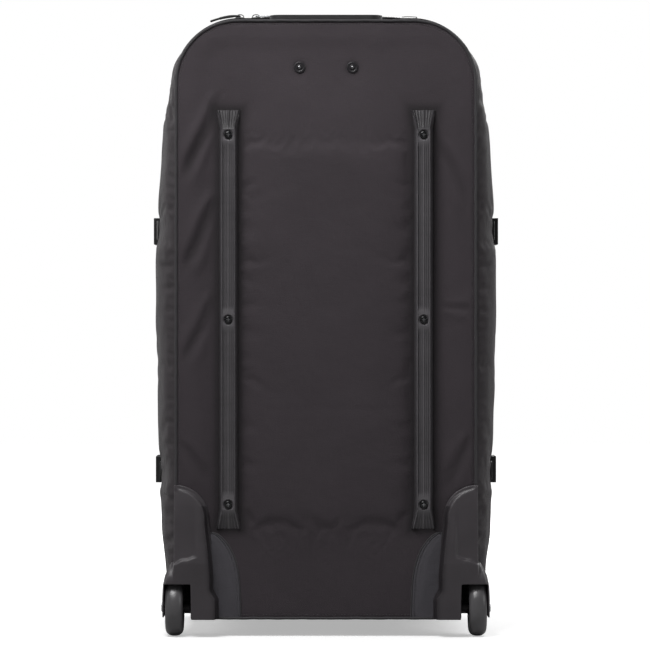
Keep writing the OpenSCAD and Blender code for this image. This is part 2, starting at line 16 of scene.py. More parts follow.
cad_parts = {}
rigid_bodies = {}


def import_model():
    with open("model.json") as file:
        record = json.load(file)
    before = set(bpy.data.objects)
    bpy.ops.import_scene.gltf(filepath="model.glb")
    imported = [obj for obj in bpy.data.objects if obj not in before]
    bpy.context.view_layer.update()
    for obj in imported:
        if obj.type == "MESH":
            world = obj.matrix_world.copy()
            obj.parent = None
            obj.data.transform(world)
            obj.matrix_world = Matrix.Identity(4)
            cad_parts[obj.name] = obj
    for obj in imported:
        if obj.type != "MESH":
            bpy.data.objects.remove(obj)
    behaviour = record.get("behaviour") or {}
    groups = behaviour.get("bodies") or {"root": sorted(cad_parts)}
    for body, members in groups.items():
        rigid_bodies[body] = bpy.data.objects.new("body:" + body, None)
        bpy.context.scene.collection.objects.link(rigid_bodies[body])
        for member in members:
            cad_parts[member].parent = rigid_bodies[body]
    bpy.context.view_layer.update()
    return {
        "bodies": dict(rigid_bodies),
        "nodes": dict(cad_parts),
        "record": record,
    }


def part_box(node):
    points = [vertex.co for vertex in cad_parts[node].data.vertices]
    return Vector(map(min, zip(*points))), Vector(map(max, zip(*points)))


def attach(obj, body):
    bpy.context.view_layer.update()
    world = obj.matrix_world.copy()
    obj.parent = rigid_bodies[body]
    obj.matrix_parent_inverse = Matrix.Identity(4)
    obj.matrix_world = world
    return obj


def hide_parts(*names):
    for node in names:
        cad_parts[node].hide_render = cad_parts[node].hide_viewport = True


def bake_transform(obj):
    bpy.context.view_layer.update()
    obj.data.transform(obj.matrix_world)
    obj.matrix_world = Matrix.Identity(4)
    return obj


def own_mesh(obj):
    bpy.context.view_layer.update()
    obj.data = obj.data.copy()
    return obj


MM = 0.001


# ---------------------------------------------------------------- frame

def box_mm(node):
    """Lowest and highest corner of a CAD node, in millimetres."""
    lo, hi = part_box(node)
    return np.array(lo) / MM, np.array(hi) / MM


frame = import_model()
JOINTS = {j["name"]: j for j in frame["record"]["behaviour"]["joints"]}

REAR_LO, REAR_HI = box_mm("rear_gusset")
PANEL_LO, PANEL_HI = box_mm("back_panel")
FRONT_LO, FRONT_HI = box_mm("front_panel")
ZIP_LO, ZIP_HI = box_mm("zip_rear")
HOUSE_LO, HOUSE_HI = box_mm("wheel_housing_right")
TYRE_LO, TYRE_HI = box_mm("tyre_right")

BACK_Y = PANEL_LO[1]
ZIP_Y = JOINTS["front_open"]["pos_m"][1] / MM
FRONT_Y = FRONT_HI[1]
BASE_Z = REAR_LO[2]
CREST_TOP = REAR_HI[2]
CREST_HALF = REAR_HI[0]
SEAM_GAP = 3.05             # from the panel's edge to the middle of its seam
SEAM_HALF = PANEL_HI[0] + SEAM_GAP
SEAM_TOP = PANEL_HI[2] + SEAM_GAP
SEAM_R = 83                 # radius of the seam at the top corners
CREST_R = CREST_TOP - JOINTS["zip_slider_a_run"]["pos_m"][2] / MM
ARC_X = -JOINTS["zip_slider_a_run"]["pos_m"][0] / MM
BULGE_Z = 450               # height at which the sides stand out furthest
UPPER_BOW, LOWER_BOW = 3000, 6500   # radii of the sides' long curves above and below it
LOW_R = 60                  # radius of the widest ring at the bottom corners
BACK_LOW_R, FRONT_LOW_R = 20, 55    # radii of the two panels at the bottom corners
TAPE_W = 10
AROUND = 460                # points round each ring of the gussets
BUCKLE_Z = [np.mean([box_mm(f"buckle_plug_{level}_right")[i][2] for i in (0, 1)])
            for level in ("lower", "upper")]
WHEEL = (TYRE_LO + TYRE_HI) / 2


# ---------------------------------------------------------------- small tools

def smooth(a, b, x):
    """0 below a, 1 above b, and a smooth ramp between."""
    t = np.clip((np.asarray(x, float) - a) / (b - a), 0, 1)
    return t * t * (3 - 2 * t)


def bump(x, middle, width):
    """1 at the middle, falling smoothly to 0 on both sides."""
    return np.exp(-((np.asarray(x, float) - middle) / width) ** 2)


def noise_at(points, scale, seed=0.0):
    """Smooth noise, about -1 to 1, at an (n, 3) array of points in millimetres."""
    shift = Vector((seed, seed * 1.7, seed * 0.6))
    return np.array([noise.noise(Vector(p) / scale + shift) for p in points])


def new_object(name, verts, faces, materials, body, uv=None, face_material=None, flat=False,
               replaces=()):
    """A mesh object in metres from points in millimetres, riding on a CAD body."""
    mesh = bpy.data.meshes.new(name)
    mesh.from_pydata((np.asarray(verts, float) * MM).tolist(), [], [tuple(f) for f in faces])
    for material in materials:
        mesh.materials.append(material)
    if face_material is not None:
        mesh.polygons.foreach_set("material_index", np.asarray(face_material, np.int32))
    if uv is not None:
        layer = mesh.uv_layers.new(name="cloth")
        loops = np.empty(len(mesh.loops), np.int32)
        mesh.loops.foreach_get("vertex_index", loops)
        layer.data.foreach_set("uv", (np.asarray(uv, float)[loops] * MM).ravel())
    mesh.polygons.foreach_set("use_smooth", [not flat] * len(mesh.polygons))
    mesh.update()
    obj = bpy.data.objects.new(name, mesh)
    bpy.context.scene.collection.objects.link(obj)
    finish_piece(obj, body, replaces)
    return obj


def finish_piece(obj, body, replaces=()):
    """Puts a finished piece on its CAD body, in place of the CAD nodes it stands for."""
    if body:
        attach(obj, body)
    if replaces:
        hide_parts(*replaces)


def set_shade(obj, values):
    """Stores painted shade: how much darker the colour is made at each point, in a groove or under a
    lip.
    """
    layer = obj.data.attributes.get("shade") or obj.data.attributes.new("shade", "FLOAT", "POINT")
    layer.data.foreach_set("value", np.clip(values, 0, 1).astype(np.float32))


def tidy_normals(obj):
    """Turns every face outward."""
    bm = bmesh.new()
    bm.from_mesh(obj.data)
    bmesh.ops.recalc_face_normals(bm, faces=bm.faces)
    bm.to_mesh(obj.data)
    bm.free()
    return obj


def read_points(mesh, field="co"):
    """A mesh's vertex positions or normals as an (n, 3) array, in Blender's metres."""
    values = np.empty(len(mesh.vertices) * 3)
    mesh.vertices.foreach_get(field, values)
    return values.reshape(-1, 3)


def write_points(mesh, points_mm):
    mesh.vertices.foreach_set("co", (points_mm * MM).ravel())


def subdivide(obj, levels=1):
    soft = obj.modifiers.new("soft", "SUBSURF")
    soft.levels = soft.render_levels = levels


def apply_modifiers(obj):
    graph = bpy.context.evaluated_depsgraph_get()
    mesh = bpy.data.meshes.new_from_object(obj.evaluated_get(graph))
    obj.modifiers.clear()
    obj.data = mesh
    return obj


def cut(obj, cutter):
    """Takes the cutter's solid out of obj."""
    modifier = obj.modifiers.new("cut", "BOOLEAN")
    modifier.operation = "DIFFERENCE"
    modifier.solver = "EXACT"
    modifier.object = cutter
    apply_modifiers(obj)
    bpy.data.objects.remove(cutter)


def bevel(obj, width, segments=2, angle=35):
    """Rounds the sharp edges, width in millimetres."""
    modifier = obj.modifiers.new("bevel", "BEVEL")
    modifier.width = width * MM
    modifier.segments = segments
    modifier.limit_method = "ANGLE"
    modifier.angle_limit = math.radians(angle)
    modifier.harden_normals = False
    shade_by_angle(obj, 40)
    return obj


def shade_by_angle(obj, angle):
    """Smooth shading, broken at edges sharper than angle in degrees."""
    mesh = obj.data
    mesh.polygons.foreach_set("use_smooth", [True] * len(mesh.polygons))
    bm = bmesh.new()
    bm.from_mesh(mesh)
    limit = math.radians(angle)
    for edge in bm.edges:
        if len(edge.link_faces) == 2:
            edge.smooth = edge.calc_face_angle(0) < limit
    bm.to_mesh(mesh)
    bm.free()


def grid_faces(rows, cols, wrap_rows=False, wrap_cols=False, flip=False):
    """The quads of a grid of points, closed round either way if asked."""
    r = np.arange(rows if wrap_rows else rows - 1)
    c = np.arange(cols if wrap_cols else cols - 1)
    rr, cc = np.meshgrid(r, c, indexing="ij")
    r1, c1 = (rr + 1) % rows, (cc + 1) % cols
    quads = np.stack([rr * cols + cc, rr * cols + c1, r1 * cols + c1, r1 * cols + cc], -1).reshape(-1, 4)
    return quads[:, ::-1] if flip else quads


def join(parts):
    """One mesh from several (verts, faces, material index) parts that share materials."""
    verts, faces, index, offset = [], [], [], 0
    for part_verts, part_faces, material in parts:
        verts.append(np.asarray(part_verts, float))
        faces += [tuple(int(i) + offset for i in f) for f in part_faces]
        index += [material] * len(part_faces)
        offset += len(part_verts)
    return np.concatenate(verts), faces, index


# ---------------------------------------------------------------- node materials

class Paint:
    """Builds one procedural material, a node at a time."""

    def __init__(self, name, rough=0.7, base=(0.1, 0.1, 0.1)):
        self.material = bpy.data.materials.new(name)
        self.material.use_nodes = True
        self.tree = self.material.node_tree
        self.shader = self.tree.nodes["Principled BSDF"]
        self.put(self.shader, "Base Color", (*base, 1))
        self.put(self.shader, "Roughness", rough)
        self.height = None

    def put(self, node, socket, value):
        if isinstance(value, bpy.types.NodeSocket):
            self.tree.links.new(value, node.inputs[socket])
        else:
            node.inputs[socket].default_value = value

    def node(self, kind, inputs=(), **settings):
        made = self.tree.nodes.new(kind)
        for key, value in settings.items():
            setattr(made, key, value)
        for socket, value in dict(inputs).items():
            self.put(made, socket, value)
        return made

    def math(self, operation, a, b=0.0, c=None):
        inputs = {0: a, 1: b} if c is None else {0: a, 1: b, 2: c}
        return self.node("ShaderNodeMath", inputs, operation=operation).outputs[0]

    def coords(self, kind="Object"):
        return self.node("ShaderNodeTexCoord").outputs[kind]

    def scaled(self, vector, scale):
        return self.node("ShaderNodeMapping", {"Vector": vector, "Scale": scale}).outputs[0]

    def noise(self, vector, scale, detail=3.0, rough=0.55):
        return self.node("ShaderNodeTexNoise", {"Vector": vector, "Scale": scale, "Detail": detail,
                                                "Roughness": rough}).outputs["Fac"]

    def ramp(self, value, low, high, to_low=0.0, to_high=1.0):
        return self.node("ShaderNodeMapRange", {"Value": value, "From Min": low, "From Max": high,
                                                "To Min": to_low, "To Max": to_high}).outputs[0]

    def colour(self, value, dark, light):
        made = self.node("ShaderNodeMix", {"Factor": value}, data_type="RGBA")
        self.put(made, 6, (*dark, 1))
        self.put(made, 7, (*light, 1))
        return made.outputs[2]

    def tint(self, colour, factor):
        """colour multiplied by a grey factor."""
        made = self.node("ShaderNodeMix", {"Factor": 1.0}, data_type="RGBA", blend_type="MULTIPLY")
        grey = self.node("ShaderNodeCombineColor", {0: factor, 1: factor, 2: factor}).outputs[0]
        self.put(made, 6, colour)
        self.put(made, 7, grey)
        return made.outputs[2]

    def bump(self, height, depth_mm, strength=1.0):
        inputs = {"Height": height, "Distance": depth_mm * MM, "Strength": strength}
        made = self.node("ShaderNodeBump", inputs)
        if self.height is not None:
            self.put(made, "Normal", self.height)
        self.height = made.outputs[0]
        self.put(self.shader, "Normal", self.height)

    def shaded(self, colour, strength=0.62):
        """Darkens a colour by the mesh's own shade values."""
        value = self.node("ShaderNodeAttribute", attribute_name="shade").outputs["Fac"]
        return self.tint(colour, self.math("MULTIPLY_ADD", value, -strength, 1.0))

    def edges(self, low=0.5, high=0.56):
        """Near 1 on sharp outer edges, where moulded parts wear first."""
        pointy = self.node("ShaderNodeNewGeometry").outputs["Pointiness"]
        return self.ramp(pointy, low, high)


def woven(name, base, pitch=1.3, rough=0.78, sheen=0.12, weave_depth=0.18, crumple=0.5, contrast=0.05):
    """Plain-weave polyester: crossing yarns, slubs, faint mottling and fine creasing."""
    p = Paint(name, rough)
    uv = p.coords("UV")
    split = p.node("ShaderNodeSeparateXYZ", {0: uv})
    turns = 2 * math.pi / (pitch * MM)
    warp = p.math("SINE", p.math("MULTIPLY", split.outputs[0], turns))
    weft = p.math("SINE", p.math("MULTIPLY", split.outputs[1], turns))
    weave = p.math("MULTIPLY_ADD", p.math("MULTIPLY", warp, weft), 0.5, 0.5)
    slub_u = p.noise(p.scaled(uv, (60, 900, 1)), 1.0, 2.0)
    slub_v = p.noise(p.scaled(uv, (900, 60, 1)), 1.0, 2.0)
    slubs = p.math("MULTIPLY", p.math("ADD", slub_u, slub_v), 0.5)
    mottle = p.noise(uv, 9.0, 4.0)
    crease = p.noise(uv, 45.0, 5.0, 0.6)
    shade = p.math("ADD", p.ramp(mottle, 0.3, 0.7, 1 - contrast, 1 + contrast),
                   p.ramp(slubs, 0.35, 0.65, -0.09, 0.09))
    shade = p.math("ADD", shade, p.ramp(weave, 0, 1, -0.05, 0.05))
    colour = p.colour(p.ramp(mottle, 0.35, 0.65), [c * 0.96 for c in base], base)
    p.put(p.shader, "Base Color", p.shaded(p.tint(colour, shade)))
    p.put(p.shader, "Roughness", p.ramp(slubs, 0.3, 0.7, rough - 0.06, rough + 0.08))
    p.put(p.shader, "Sheen Weight", sheen)
    p.put(p.shader, "Sheen Roughness", 0.45)
    p.put(p.shader, "Specular IOR Level", 0.35)
    p.bump(crease, 1.6, crumple)
    p.bump(slubs, 0.35, 0.6)
    p.bump(weave, weave_depth, 0.9)
    return p.material


def ribbed(name, base, pitch=1.6, rough=0.62):
    """Webbing: ribs across the strap and a herringbone along it."""
    p = Paint(name, rough)
    uv = p.coords("UV")
    split = p.node("ShaderNodeSeparateXYZ", {0: uv})
    turns = 2 * math.pi / (pitch * MM)
    rib = p.math("SINE", p.math("MULTIPLY", split.outputs[0], turns))
    slant = p.math("ADD", p.math("MULTIPLY", split.outputs[1], turns * 1.6),
                   p.math("MULTIPLY", rib, 1.2))
    twill = p.math("SINE", slant)
    height = p.math("MULTIPLY_ADD", p.math("ADD", rib, twill), 0.25, 0.5)
    fuzz = p.noise(uv, 500.0, 3.0)
    shade = p.math("ADD", p.ramp(height, 0, 1, 0.8, 1.15), p.ramp(fuzz, 0.3, 0.7, -0.1, 0.1))
    p.put(p.shader, "Base Color", p.tint(p.colour(fuzz, [c * 0.85 for c in base], base), shade))
    p.put(p.shader, "Sheen Weight", 0.2)
    p.bump(fuzz, 0.15, 0.5)
    p.bump(height, 0.35, 0.9)
    return p.material


def moulded(name, base, rough=0.5, grain=0.12, wear=0.35, grain_scale=1400, spec=0.5):
    """Textured injection-moulded plastic with fine grain, soft scuffs and paler edges."""
    p = Paint(name, rough)
    where = p.coords("Object")
    grains = p.noise(where, grain_scale, 2.0, 0.6)
    blotch = p.noise(where, 22.0, 4.0)
    scuff = p.noise(p.scaled(where, (40, 160, 260)), 1.0, 5.0, 0.7)
    worn = p.math("MULTIPLY", p.edges(), p.ramp(scuff, 0.35, 0.65))
    light = [min(1.0, c * 2.2 + 0.02) for c in base]
    body = p.colour(p.ramp(blotch, 0.3, 0.7), [c * 0.88 for c in base], [c * 1.1 for c in base])
    mix = p.node("ShaderNodeMix", {"Factor": p.math("MULTIPLY", worn, wear)}, data_type="RGBA")
    p.put(mix, 6, body)
    p.put(mix, 7, (*light, 1))
    p.put(p.shader, "Base Color", p.shaded(mix.outputs[2]))
    p.put(p.shader, "Roughness", p.math("ADD", p.ramp(grains, 0.3, 0.7, rough - 0.05, rough + 0.07),
                                        p.ramp(scuff, 0.55, 0.75, 0.0, 0.12)))
    # grooves and ramps that the mesh marks as shaded shine less
    mark = p.node("ShaderNodeAttribute", attribute_name="shade").outputs["Fac"]
    p.put(p.shader, "Specular IOR Level", p.math("MULTIPLY_ADD", mark, -0.75 * spec, spec))
    p.bump(scuff, 0.08, 0.3)
    p.bump(grains, grain, 0.8)
    return p.material


def metal(name, base, rough=0.3, metallic=1.0, brushed=(30, 30, 900), depth=0.03):
    """Brushed or coated metal with fine lines and smudges."""
    p = Paint(name, rough)
    where = p.coords("Object")
    lines = p.noise(p.scaled(where, brushed), 1.0, 3.0, 0.6)
    smudge = p.noise(where, 60.0, 4.0)
    p.put(p.shader, "Base Color", p.colour(smudge, [c * 0.85 for c in base], base))
    p.put(p.shader, "Metallic", metallic)
    p.put(p.shader, "Roughness", p.math("ADD", p.ramp(lines, 0.3, 0.7, rough - 0.07, rough + 0.07),
                                        p.ramp(smudge, 0.5, 0.8, 0.0, 0.12)))
    p.bump(lines, depth, 0.4)
    return p.material


def urethane(name, base):
    """Cast wheel tyre: glossy, with faint rolling scuffs round the tread and dull dust."""
    p = Paint(name, 0.32)
    where = p.coords("Object")
    dust = p.noise(where, 55.0, 5.0, 0.65)
    speck = p.noise(where, 900.0, 2.0)
    p.put(p.shader, "Base Color", p.colour(p.ramp(dust, 0.35, 0.7), base, [c * 1.25 for c in base]))
    p.put(p.shader, "Roughness", p.ramp(dust, 0.35, 0.7, 0.28, 0.42))
    p.bump(dust, 0.12, 0.3)
    p.bump(speck, 0.03, 0.3)
    return p.material


FABRIC = woven("bag_fabric", (0.044, 0.0355, 0.0415))
SIDE_FABRIC = woven("gusset_fabric", (0.042, 0.036, 0.040), crumple=0.7)
PATCH_FABRIC = woven("patch_fabric", (0.070, 0.066, 0.076), pitch=1.7, rough=0.7, weave_depth=0.25)
LINING = woven("lining", (0.16, 0.16, 0.165), pitch=0.9, rough=0.6, sheen=0.1, crumple=0.8)
WEBBING = ribbed("webbing", (0.012, 0.012, 0.013))
THREAD = ribbed("thread", (0.02, 0.02, 0.021), pitch=0.5)
PIPING = woven("piping_fabric", (0.040, 0.038, 0.041), pitch=1.0, rough=0.66, crumple=0.3)
ZIP_TAPE = ribbed("zip_tape", (0.010, 0.010, 0.011), pitch=0.9, rough=0.8)
ZIP_COIL = moulded("zip_coil", (0.011, 0.011, 0.012), rough=0.34, grain=0.02, wear=0.1)
HOUSING = moulded("housing_plastic", (0.050, 0.044, 0.049), rough=0.42)
RAIL = moulded("rail_plastic", (0.100, 0.094, 0.101), rough=0.36, grain=0.06, wear=0.6)
BUCKLE = moulded("buckle_plastic", (0.013, 0.013, 0.014), rough=0.36, grain=0.04, wear=0.2)
BLACK_PLASTIC = moulded("black_plastic", (0.014, 0.014, 0.015), rough=0.5)
SHEET = moulded("sheet_plastic", (0.02, 0.02, 0.021), rough=0.55, grain=0.2)
RUBBER = moulded("grip_rubber", (0.012, 0.012, 0.012), rough=0.62, grain=0.15, wear=0.1)
URETHANE = urethane("wheel_urethane", (0.085, 0.082, 0.086))
TUBE = metal("anodised_tube", (0.32, 0.32, 0.33), rough=0.34, brushed=(900, 900, 20))
STEEL = metal("plated_steel", (0.55, 0.55, 0.57), rough=0.25)
BLACK_STEEL = metal("black_steel", (0.009, 0.009, 0.010), rough=0.13, metallic=0.25)
ENAMEL = metal("black_enamel", (0.022, 0.020, 0.023), rough=0.38, metallic=0.2)
LOOP_METAL = metal("pull_loop", (0.36, 0.37, 0.38), rough=0.24)


# ---------------------------------------------------------------- soft shell outline

def mix(a, b, f):
    return a + (b - a) * f


def crest_x(z):
    """Half the width of the widest ring at height z."""
    z = np.asarray(z, float)
    return CREST_HALF - (z - BULGE_Z) ** 2 / (2 * np.where(z > BULGE_Z, UPPER_BOW, LOWER_BOW))


def resample(points, n):
    """n points at equal spacing round a closed polyline, starting at its first point."""
    loop = np.vstack([points, points[:1]])
    along = np.concatenate([[0], np.cumsum(np.linalg.norm(np.diff(loop, axis=0), axis=1))])
    at = np.linspace(0, along[-1], n, endpoint=False)
    return np.stack([np.interp(at, along, loop[:, k]) for k in range(loop.shape[1])], 1)


def outline(f, n, inset=0.0, low_r=20.0):
    """The bag's outline seen from behind, from the seam (f = 0) to the widest ring (f = 1)."""
    arc, low = mix(SEAM_R, CREST_R, f), mix(low_r, LOW_R, f)
    discs = [(mix(SEAM_HALF - SEAM_R, ARC_X, f), mix(SEAM_TOP, CREST_TOP, f) - arc, arc)]
    discs += [(mix(SEAM_HALF, crest_x(z), f) - 18, z, 18) for z in range(170, 701, 30)]
    discs += [(mix(SEAM_HALF, crest_x(BASE_Z + LOW_R), f) - low, BASE_Z + low, low)]
    both = np.array(discs + [(-x, z, r) for x, z, r in discs])
    angle = np.linspace(-math.pi / 2, 1.5 * math.pi, 2881)[:-1]
    normal = np.stack([np.cos(angle), np.sin(angle)], 1)
    best = both[(normal @ both[:, :2].T + both[:, 2]).argmax(1)]
    points = best[:, :2] + (best[:, 2:] - inset) * normal
    return resample(np.vstack([[[0, points[0, 1]]], points]), n)


def swell(t):
    """How far the gusset has bulged at share t of its depth, from the seam (0) to the zip (1)."""
    return (1 - (1 - np.clip(t, 0, 1)) ** 5) ** 0.77


def gusset_ring(t, low_r, top_power):
    """The gusset at share t of its depth: the sides swell early and the top rises late."""
    side = outline(swell(t), AROUND, low_r=low_r)
    top = outline(t ** top_power, AROUND, low_r=low_r)
    late = smooth(0.12, 0.72, outward(side)[:, 1]) * (side[:, 1] > 600)
    return side + (top - side) * late[:, None]


def outward(ring):
    """Unit normals of a closed counter-clockwise ring of (x, z) points."""
    along = np.roll(ring, -1, 0) - np.roll(ring, 1, 0)
    along /= np.linalg.norm(along, axis=1)[:, None]
    return np.stack([along[:, 1], -along[:, 0]], 1)


def ring_path(f, y, n, raise_by=0.0, low_r=20.0):
    """A closed 3-D path round the bag at depth y, with its outward directions."""
    ring = outline(f, n, low_r=low_r)
    normal = outward(ring)
    ring = ring + normal * raise_by
    return (np.column_stack([ring[:, 0], np.full(n, y), ring[:, 1]]),
            np.column_stack([normal[:, 0], np.zeros(n), normal[:, 1]]))


def side_puff(x, z):
    """Packed fabric stands a little proud of the widest ring, and is drawn in by each strap."""
    side = smooth(120, 190, np.abs(x)) * smooth(800, 620, z)
    puff = 2.4 * bump(z, 480, 150) - 1.4 - 4.6 * smooth(135, 88, z)
    for level in BUCKLE_Z:
        puff = puff - 1.8 * bump(z, level, 24)
    return side * puff


# ---------------------------------------------------------------- sweeps and lathes

UP = (0.0, 0.0, 1.0)


def sweep(path, up, section, closed=False):
    """A section of (across, up) points carried along a path; returns verts and quad faces."""
    path = np.asarray(path, float)
    up = np.broadcast_to(np.asarray(up, float), path.shape)
    if closed:
        along = np.roll(path, -1, 0) - np.roll(path, 1, 0)
    else:
        along = np.gradient(path, axis=0)
    along /= np.linalg.norm(along, axis=1)[:, None]
    across = np.cross(along, up)
    across /= np.linalg.norm(across, axis=1)[:, None]
    up = np.cross(across, along)
    section = np.asarray(section, float)
    if section.ndim == 2:
        section = np.broadcast_to(section, (len(path),) + section.shape)
    verts = (path[:, None] + across[:, None] * section[..., :1] + up[:, None] * section[..., 1:])
    m = section.shape[1]
    faces = [tuple(f) for f in grid_faces(len(path), m, wrap_rows=closed, wrap_cols=True)]
    if not closed:
        faces += [tuple(range(m - 1, -1, -1)), tuple(range((len(path) - 1) * m, len(path) * m))]
    return verts.reshape(-1, 3), faces


def circle(r, n=10):
    """A round section."""
    angle = np.linspace(0, 2 * math.pi, n, endpoint=False)
    return np.stack([np.cos(angle) * r, np.sin(angle) * r], 1)


def rounded(w, h, r, n=3):
    """A rounded rectangle section, centred across and standing on zero."""
    points = []
    for k, (sx, sy) in enumerate(((1, 1), (-1, 1), (-1, -1), (1, -1))):
        for angle in np.linspace(0, math.pi / 2, n + 1) + k * math.pi / 2:
            points.append((sx * (w / 2 - r) + r * math.cos(angle),
                           h / 2 + sy * (h / 2 - r) + r * math.sin(angle)))
    return np.array(points)


def lathe(profile, n=48):
    """A profile of (radius, height) turned about its own axis, which points along +Z."""
    profile = np.asarray(profile, float)
    angle = np.linspace(0, 2 * math.pi, n, endpoint=False)
    verts = np.stack([profile[:, 0, None] * np.cos(angle), profile[:, 0, None] * np.sin(angle),
                      np.repeat(profile[:, 1, None], n, 1)], -1)
    faces = [tuple(f) for f in grid_faces(len(profile), n, wrap_cols=True)]
    faces += [tuple(range(n - 1, -1, -1)), tuple(range((len(profile) - 1) * n, len(profile) * n))]
    return verts.reshape(-1, 3), faces


def arc_profile(points, radius, steps=5):
    """Rounds the corners of an open profile."""
    points = [np.asarray(p, float) for p in points]
    out = [points[0]]
    for before, corner, after in zip(points, points[1:], points[2:]):
        a, b = before - corner, after - corner
        r = min(radius, np.linalg.norm(a) * 0.45, np.linalg.norm(b) * 0.45)
        start, end = corner + a / np.linalg.norm(a) * r, corner + b / np.linalg.norm(b) * r
        for t in np.linspace(0, 1, steps):
            out.append((1 - t) ** 2 * start + 2 * t * (1 - t) * corner + t * t * end)
    out.append(points[-1])
    return np.array(out)


TO_BACK = Matrix.Rotation(math.radians(90), 3, "X")
TO_SIDE = Matrix.Rotation(math.radians(90), 3, "Y")


def placed(verts, at, turn=None):
    """Points turned, then moved to their place."""
    verts = np.asarray(verts, float)
    if turn is not None:
        verts = verts @ np.array(turn).T
    return verts + np.asarray(at, float)


def stitches(path, up, pitch=4.0, length=3.0, width=0.8, closed=False):
    """Thread lying along a path: one long thin diamond per stitch."""
    path = np.asarray(path, float)
    up = np.broadcast_to(np.asarray(up, float), path.shape)
    if closed:
        path, up = np.vstack([path, path[:1]]), np.vstack([up, up[:1]])
    gone = np.concatenate([[0], np.cumsum(np.linalg.norm(np.diff(path, axis=0), axis=1))])
    verts, faces = [], []
    for middle in np.arange(pitch / 2, gone[-1] - pitch / 2, pitch):
        ends = [np.array([np.interp(middle + s * length / 2, gone, path[:, k]) for k in range(3)])
                for s in (-1, 1)]
        lift = np.array([np.interp(middle, gone, up[:, k]) for k in range(3)])
        lift /= np.linalg.norm(lift)
        centre = (ends[0] + ends[1]) / 2
        along = ends[1] - ends[0]
        across = np.cross(along, lift)
        across *= width / 2 / max(np.linalg.norm(across), 1e-9)
        n = len(verts)
        verts += [ends[0], ends[1], centre + across, centre - across,
                  centre + lift * width * 0.55, centre - lift * width * 0.3]
        faces += [(n, n + 2, n + 4), (n, n + 4, n + 3), (n, n + 3, n + 5), (n, n + 5, n + 2),
                  (n + 1, n + 4, n + 2), (n + 1, n + 3, n + 4), (n + 1, n + 5, n + 3),
                  (n + 1, n + 2, n + 5)]
    return np.array(verts), faces


# ---------------------------------------------------------------- cloth

def settle(obj, held, slack, pressure, cap_out, cap_in):
    """Lets a slightly oversized sheet of fabric buckle between the places that hold it.

    held is 1 where a seam, strap or rail holds the fabric and 0 where it is free. The sheet's
    movement is capped along its own normal, so that it stays clear of its neighbours.
    """
    scene = bpy.context.scene
    rest = read_points(obj.data)
    normal = read_points(obj.data, "normal")
    trial = bpy.data.objects.new("trial", obj.data.copy())
    scene.collection.objects.link(trial)
    group = trial.vertex_groups.new(name="held")
    for index, weight in enumerate(held):
        if weight > 0.02:
            group.add([index], float(weight), "REPLACE")
    cloth = trial.modifiers.new("cloth", "CLOTH")
    cloth.settings.vertex_group_mass = "held"
    cloth.settings.quality = 4
    cloth.settings.mass = 0.15
    cloth.settings.tension_stiffness = 12
    cloth.settings.compression_stiffness = 12
    cloth.settings.shear_stiffness = 4
    cloth.settings.bending_stiffness = 1.2
    cloth.settings.shrink_min = -slack
    cloth.settings.use_pressure = True
    cloth.settings.uniform_pressure_force = pressure
    cloth.settings.effector_weights.gravity = 0
    cloth.collision_settings.use_collision = False
    cloth.collision_settings.use_self_collision = False
    cloth.point_cache.frame_start = 1
    cloth.point_cache.frame_end = 20
    for step in range(1, 21):
        scene.frame_set(step)
    graph = bpy.context.evaluated_depsgraph_get()
    shift = (read_points(trial.evaluated_get(graph).data) - rest) / MM
    along = (shift * normal).sum(1)
    limit = np.where(along > 0, cap_out, cap_in)
    along = limit * np.tanh(along / limit)
    bpy.data.objects.remove(trial)
    scene.frame_set(1)
    result = rest + normal * along[:, None] * MM
    obj.data.vertices.foreach_set("co", result.ravel())
    obj.data.update()


def fold(x, z, start, end, depth, width):
    """A drawn-in crease between two points, with a soft roll on each side, and its shade."""
    (x0, z0), (x1, z1) = start, end
    length = math.hypot(x1 - x0, z1 - z0)
    ux, uz = (x1 - x0) / length, (z1 - z0) / length
    t = ((x - x0) * ux + (z - z0) * uz) / length
    wander = 2.6 * noise_at(np.stack([x, x * 0, z], 1), 48, x0 + z0)
    across = (x - x0) * uz - (z - z0) * ux + wander
    width = width * mix(0.7, 1.5, np.clip(t, 0, 1))
    fade = smooth(-0.05, 0.2, t) * smooth(1.0, 0.75, t)
    rolls = 0.7 * bump(across, 1.9 * width, 1.4 * width) + 0.5 * bump(across, -1.9 * width, width)
    valley = bump(across, 0, width) * fade
    return depth * (rolls * fade - 0.8 * valley), valley


def fabric_finish(obj, thickness=1.2, levels=1):
    """Gives a sheet its thickness, with the lining on the inner side, and softens it."""
    thick = obj.modifiers.new("cloth_thickness", "SOLIDIFY")
    thick.thickness = thickness * MM
    thick.offset = -1
    thick.material_offset = 1
    thick.use_rim = True
    subdivide(obj, levels)


# ---------------------------------------------------------------- gussets

CLOTH = {}


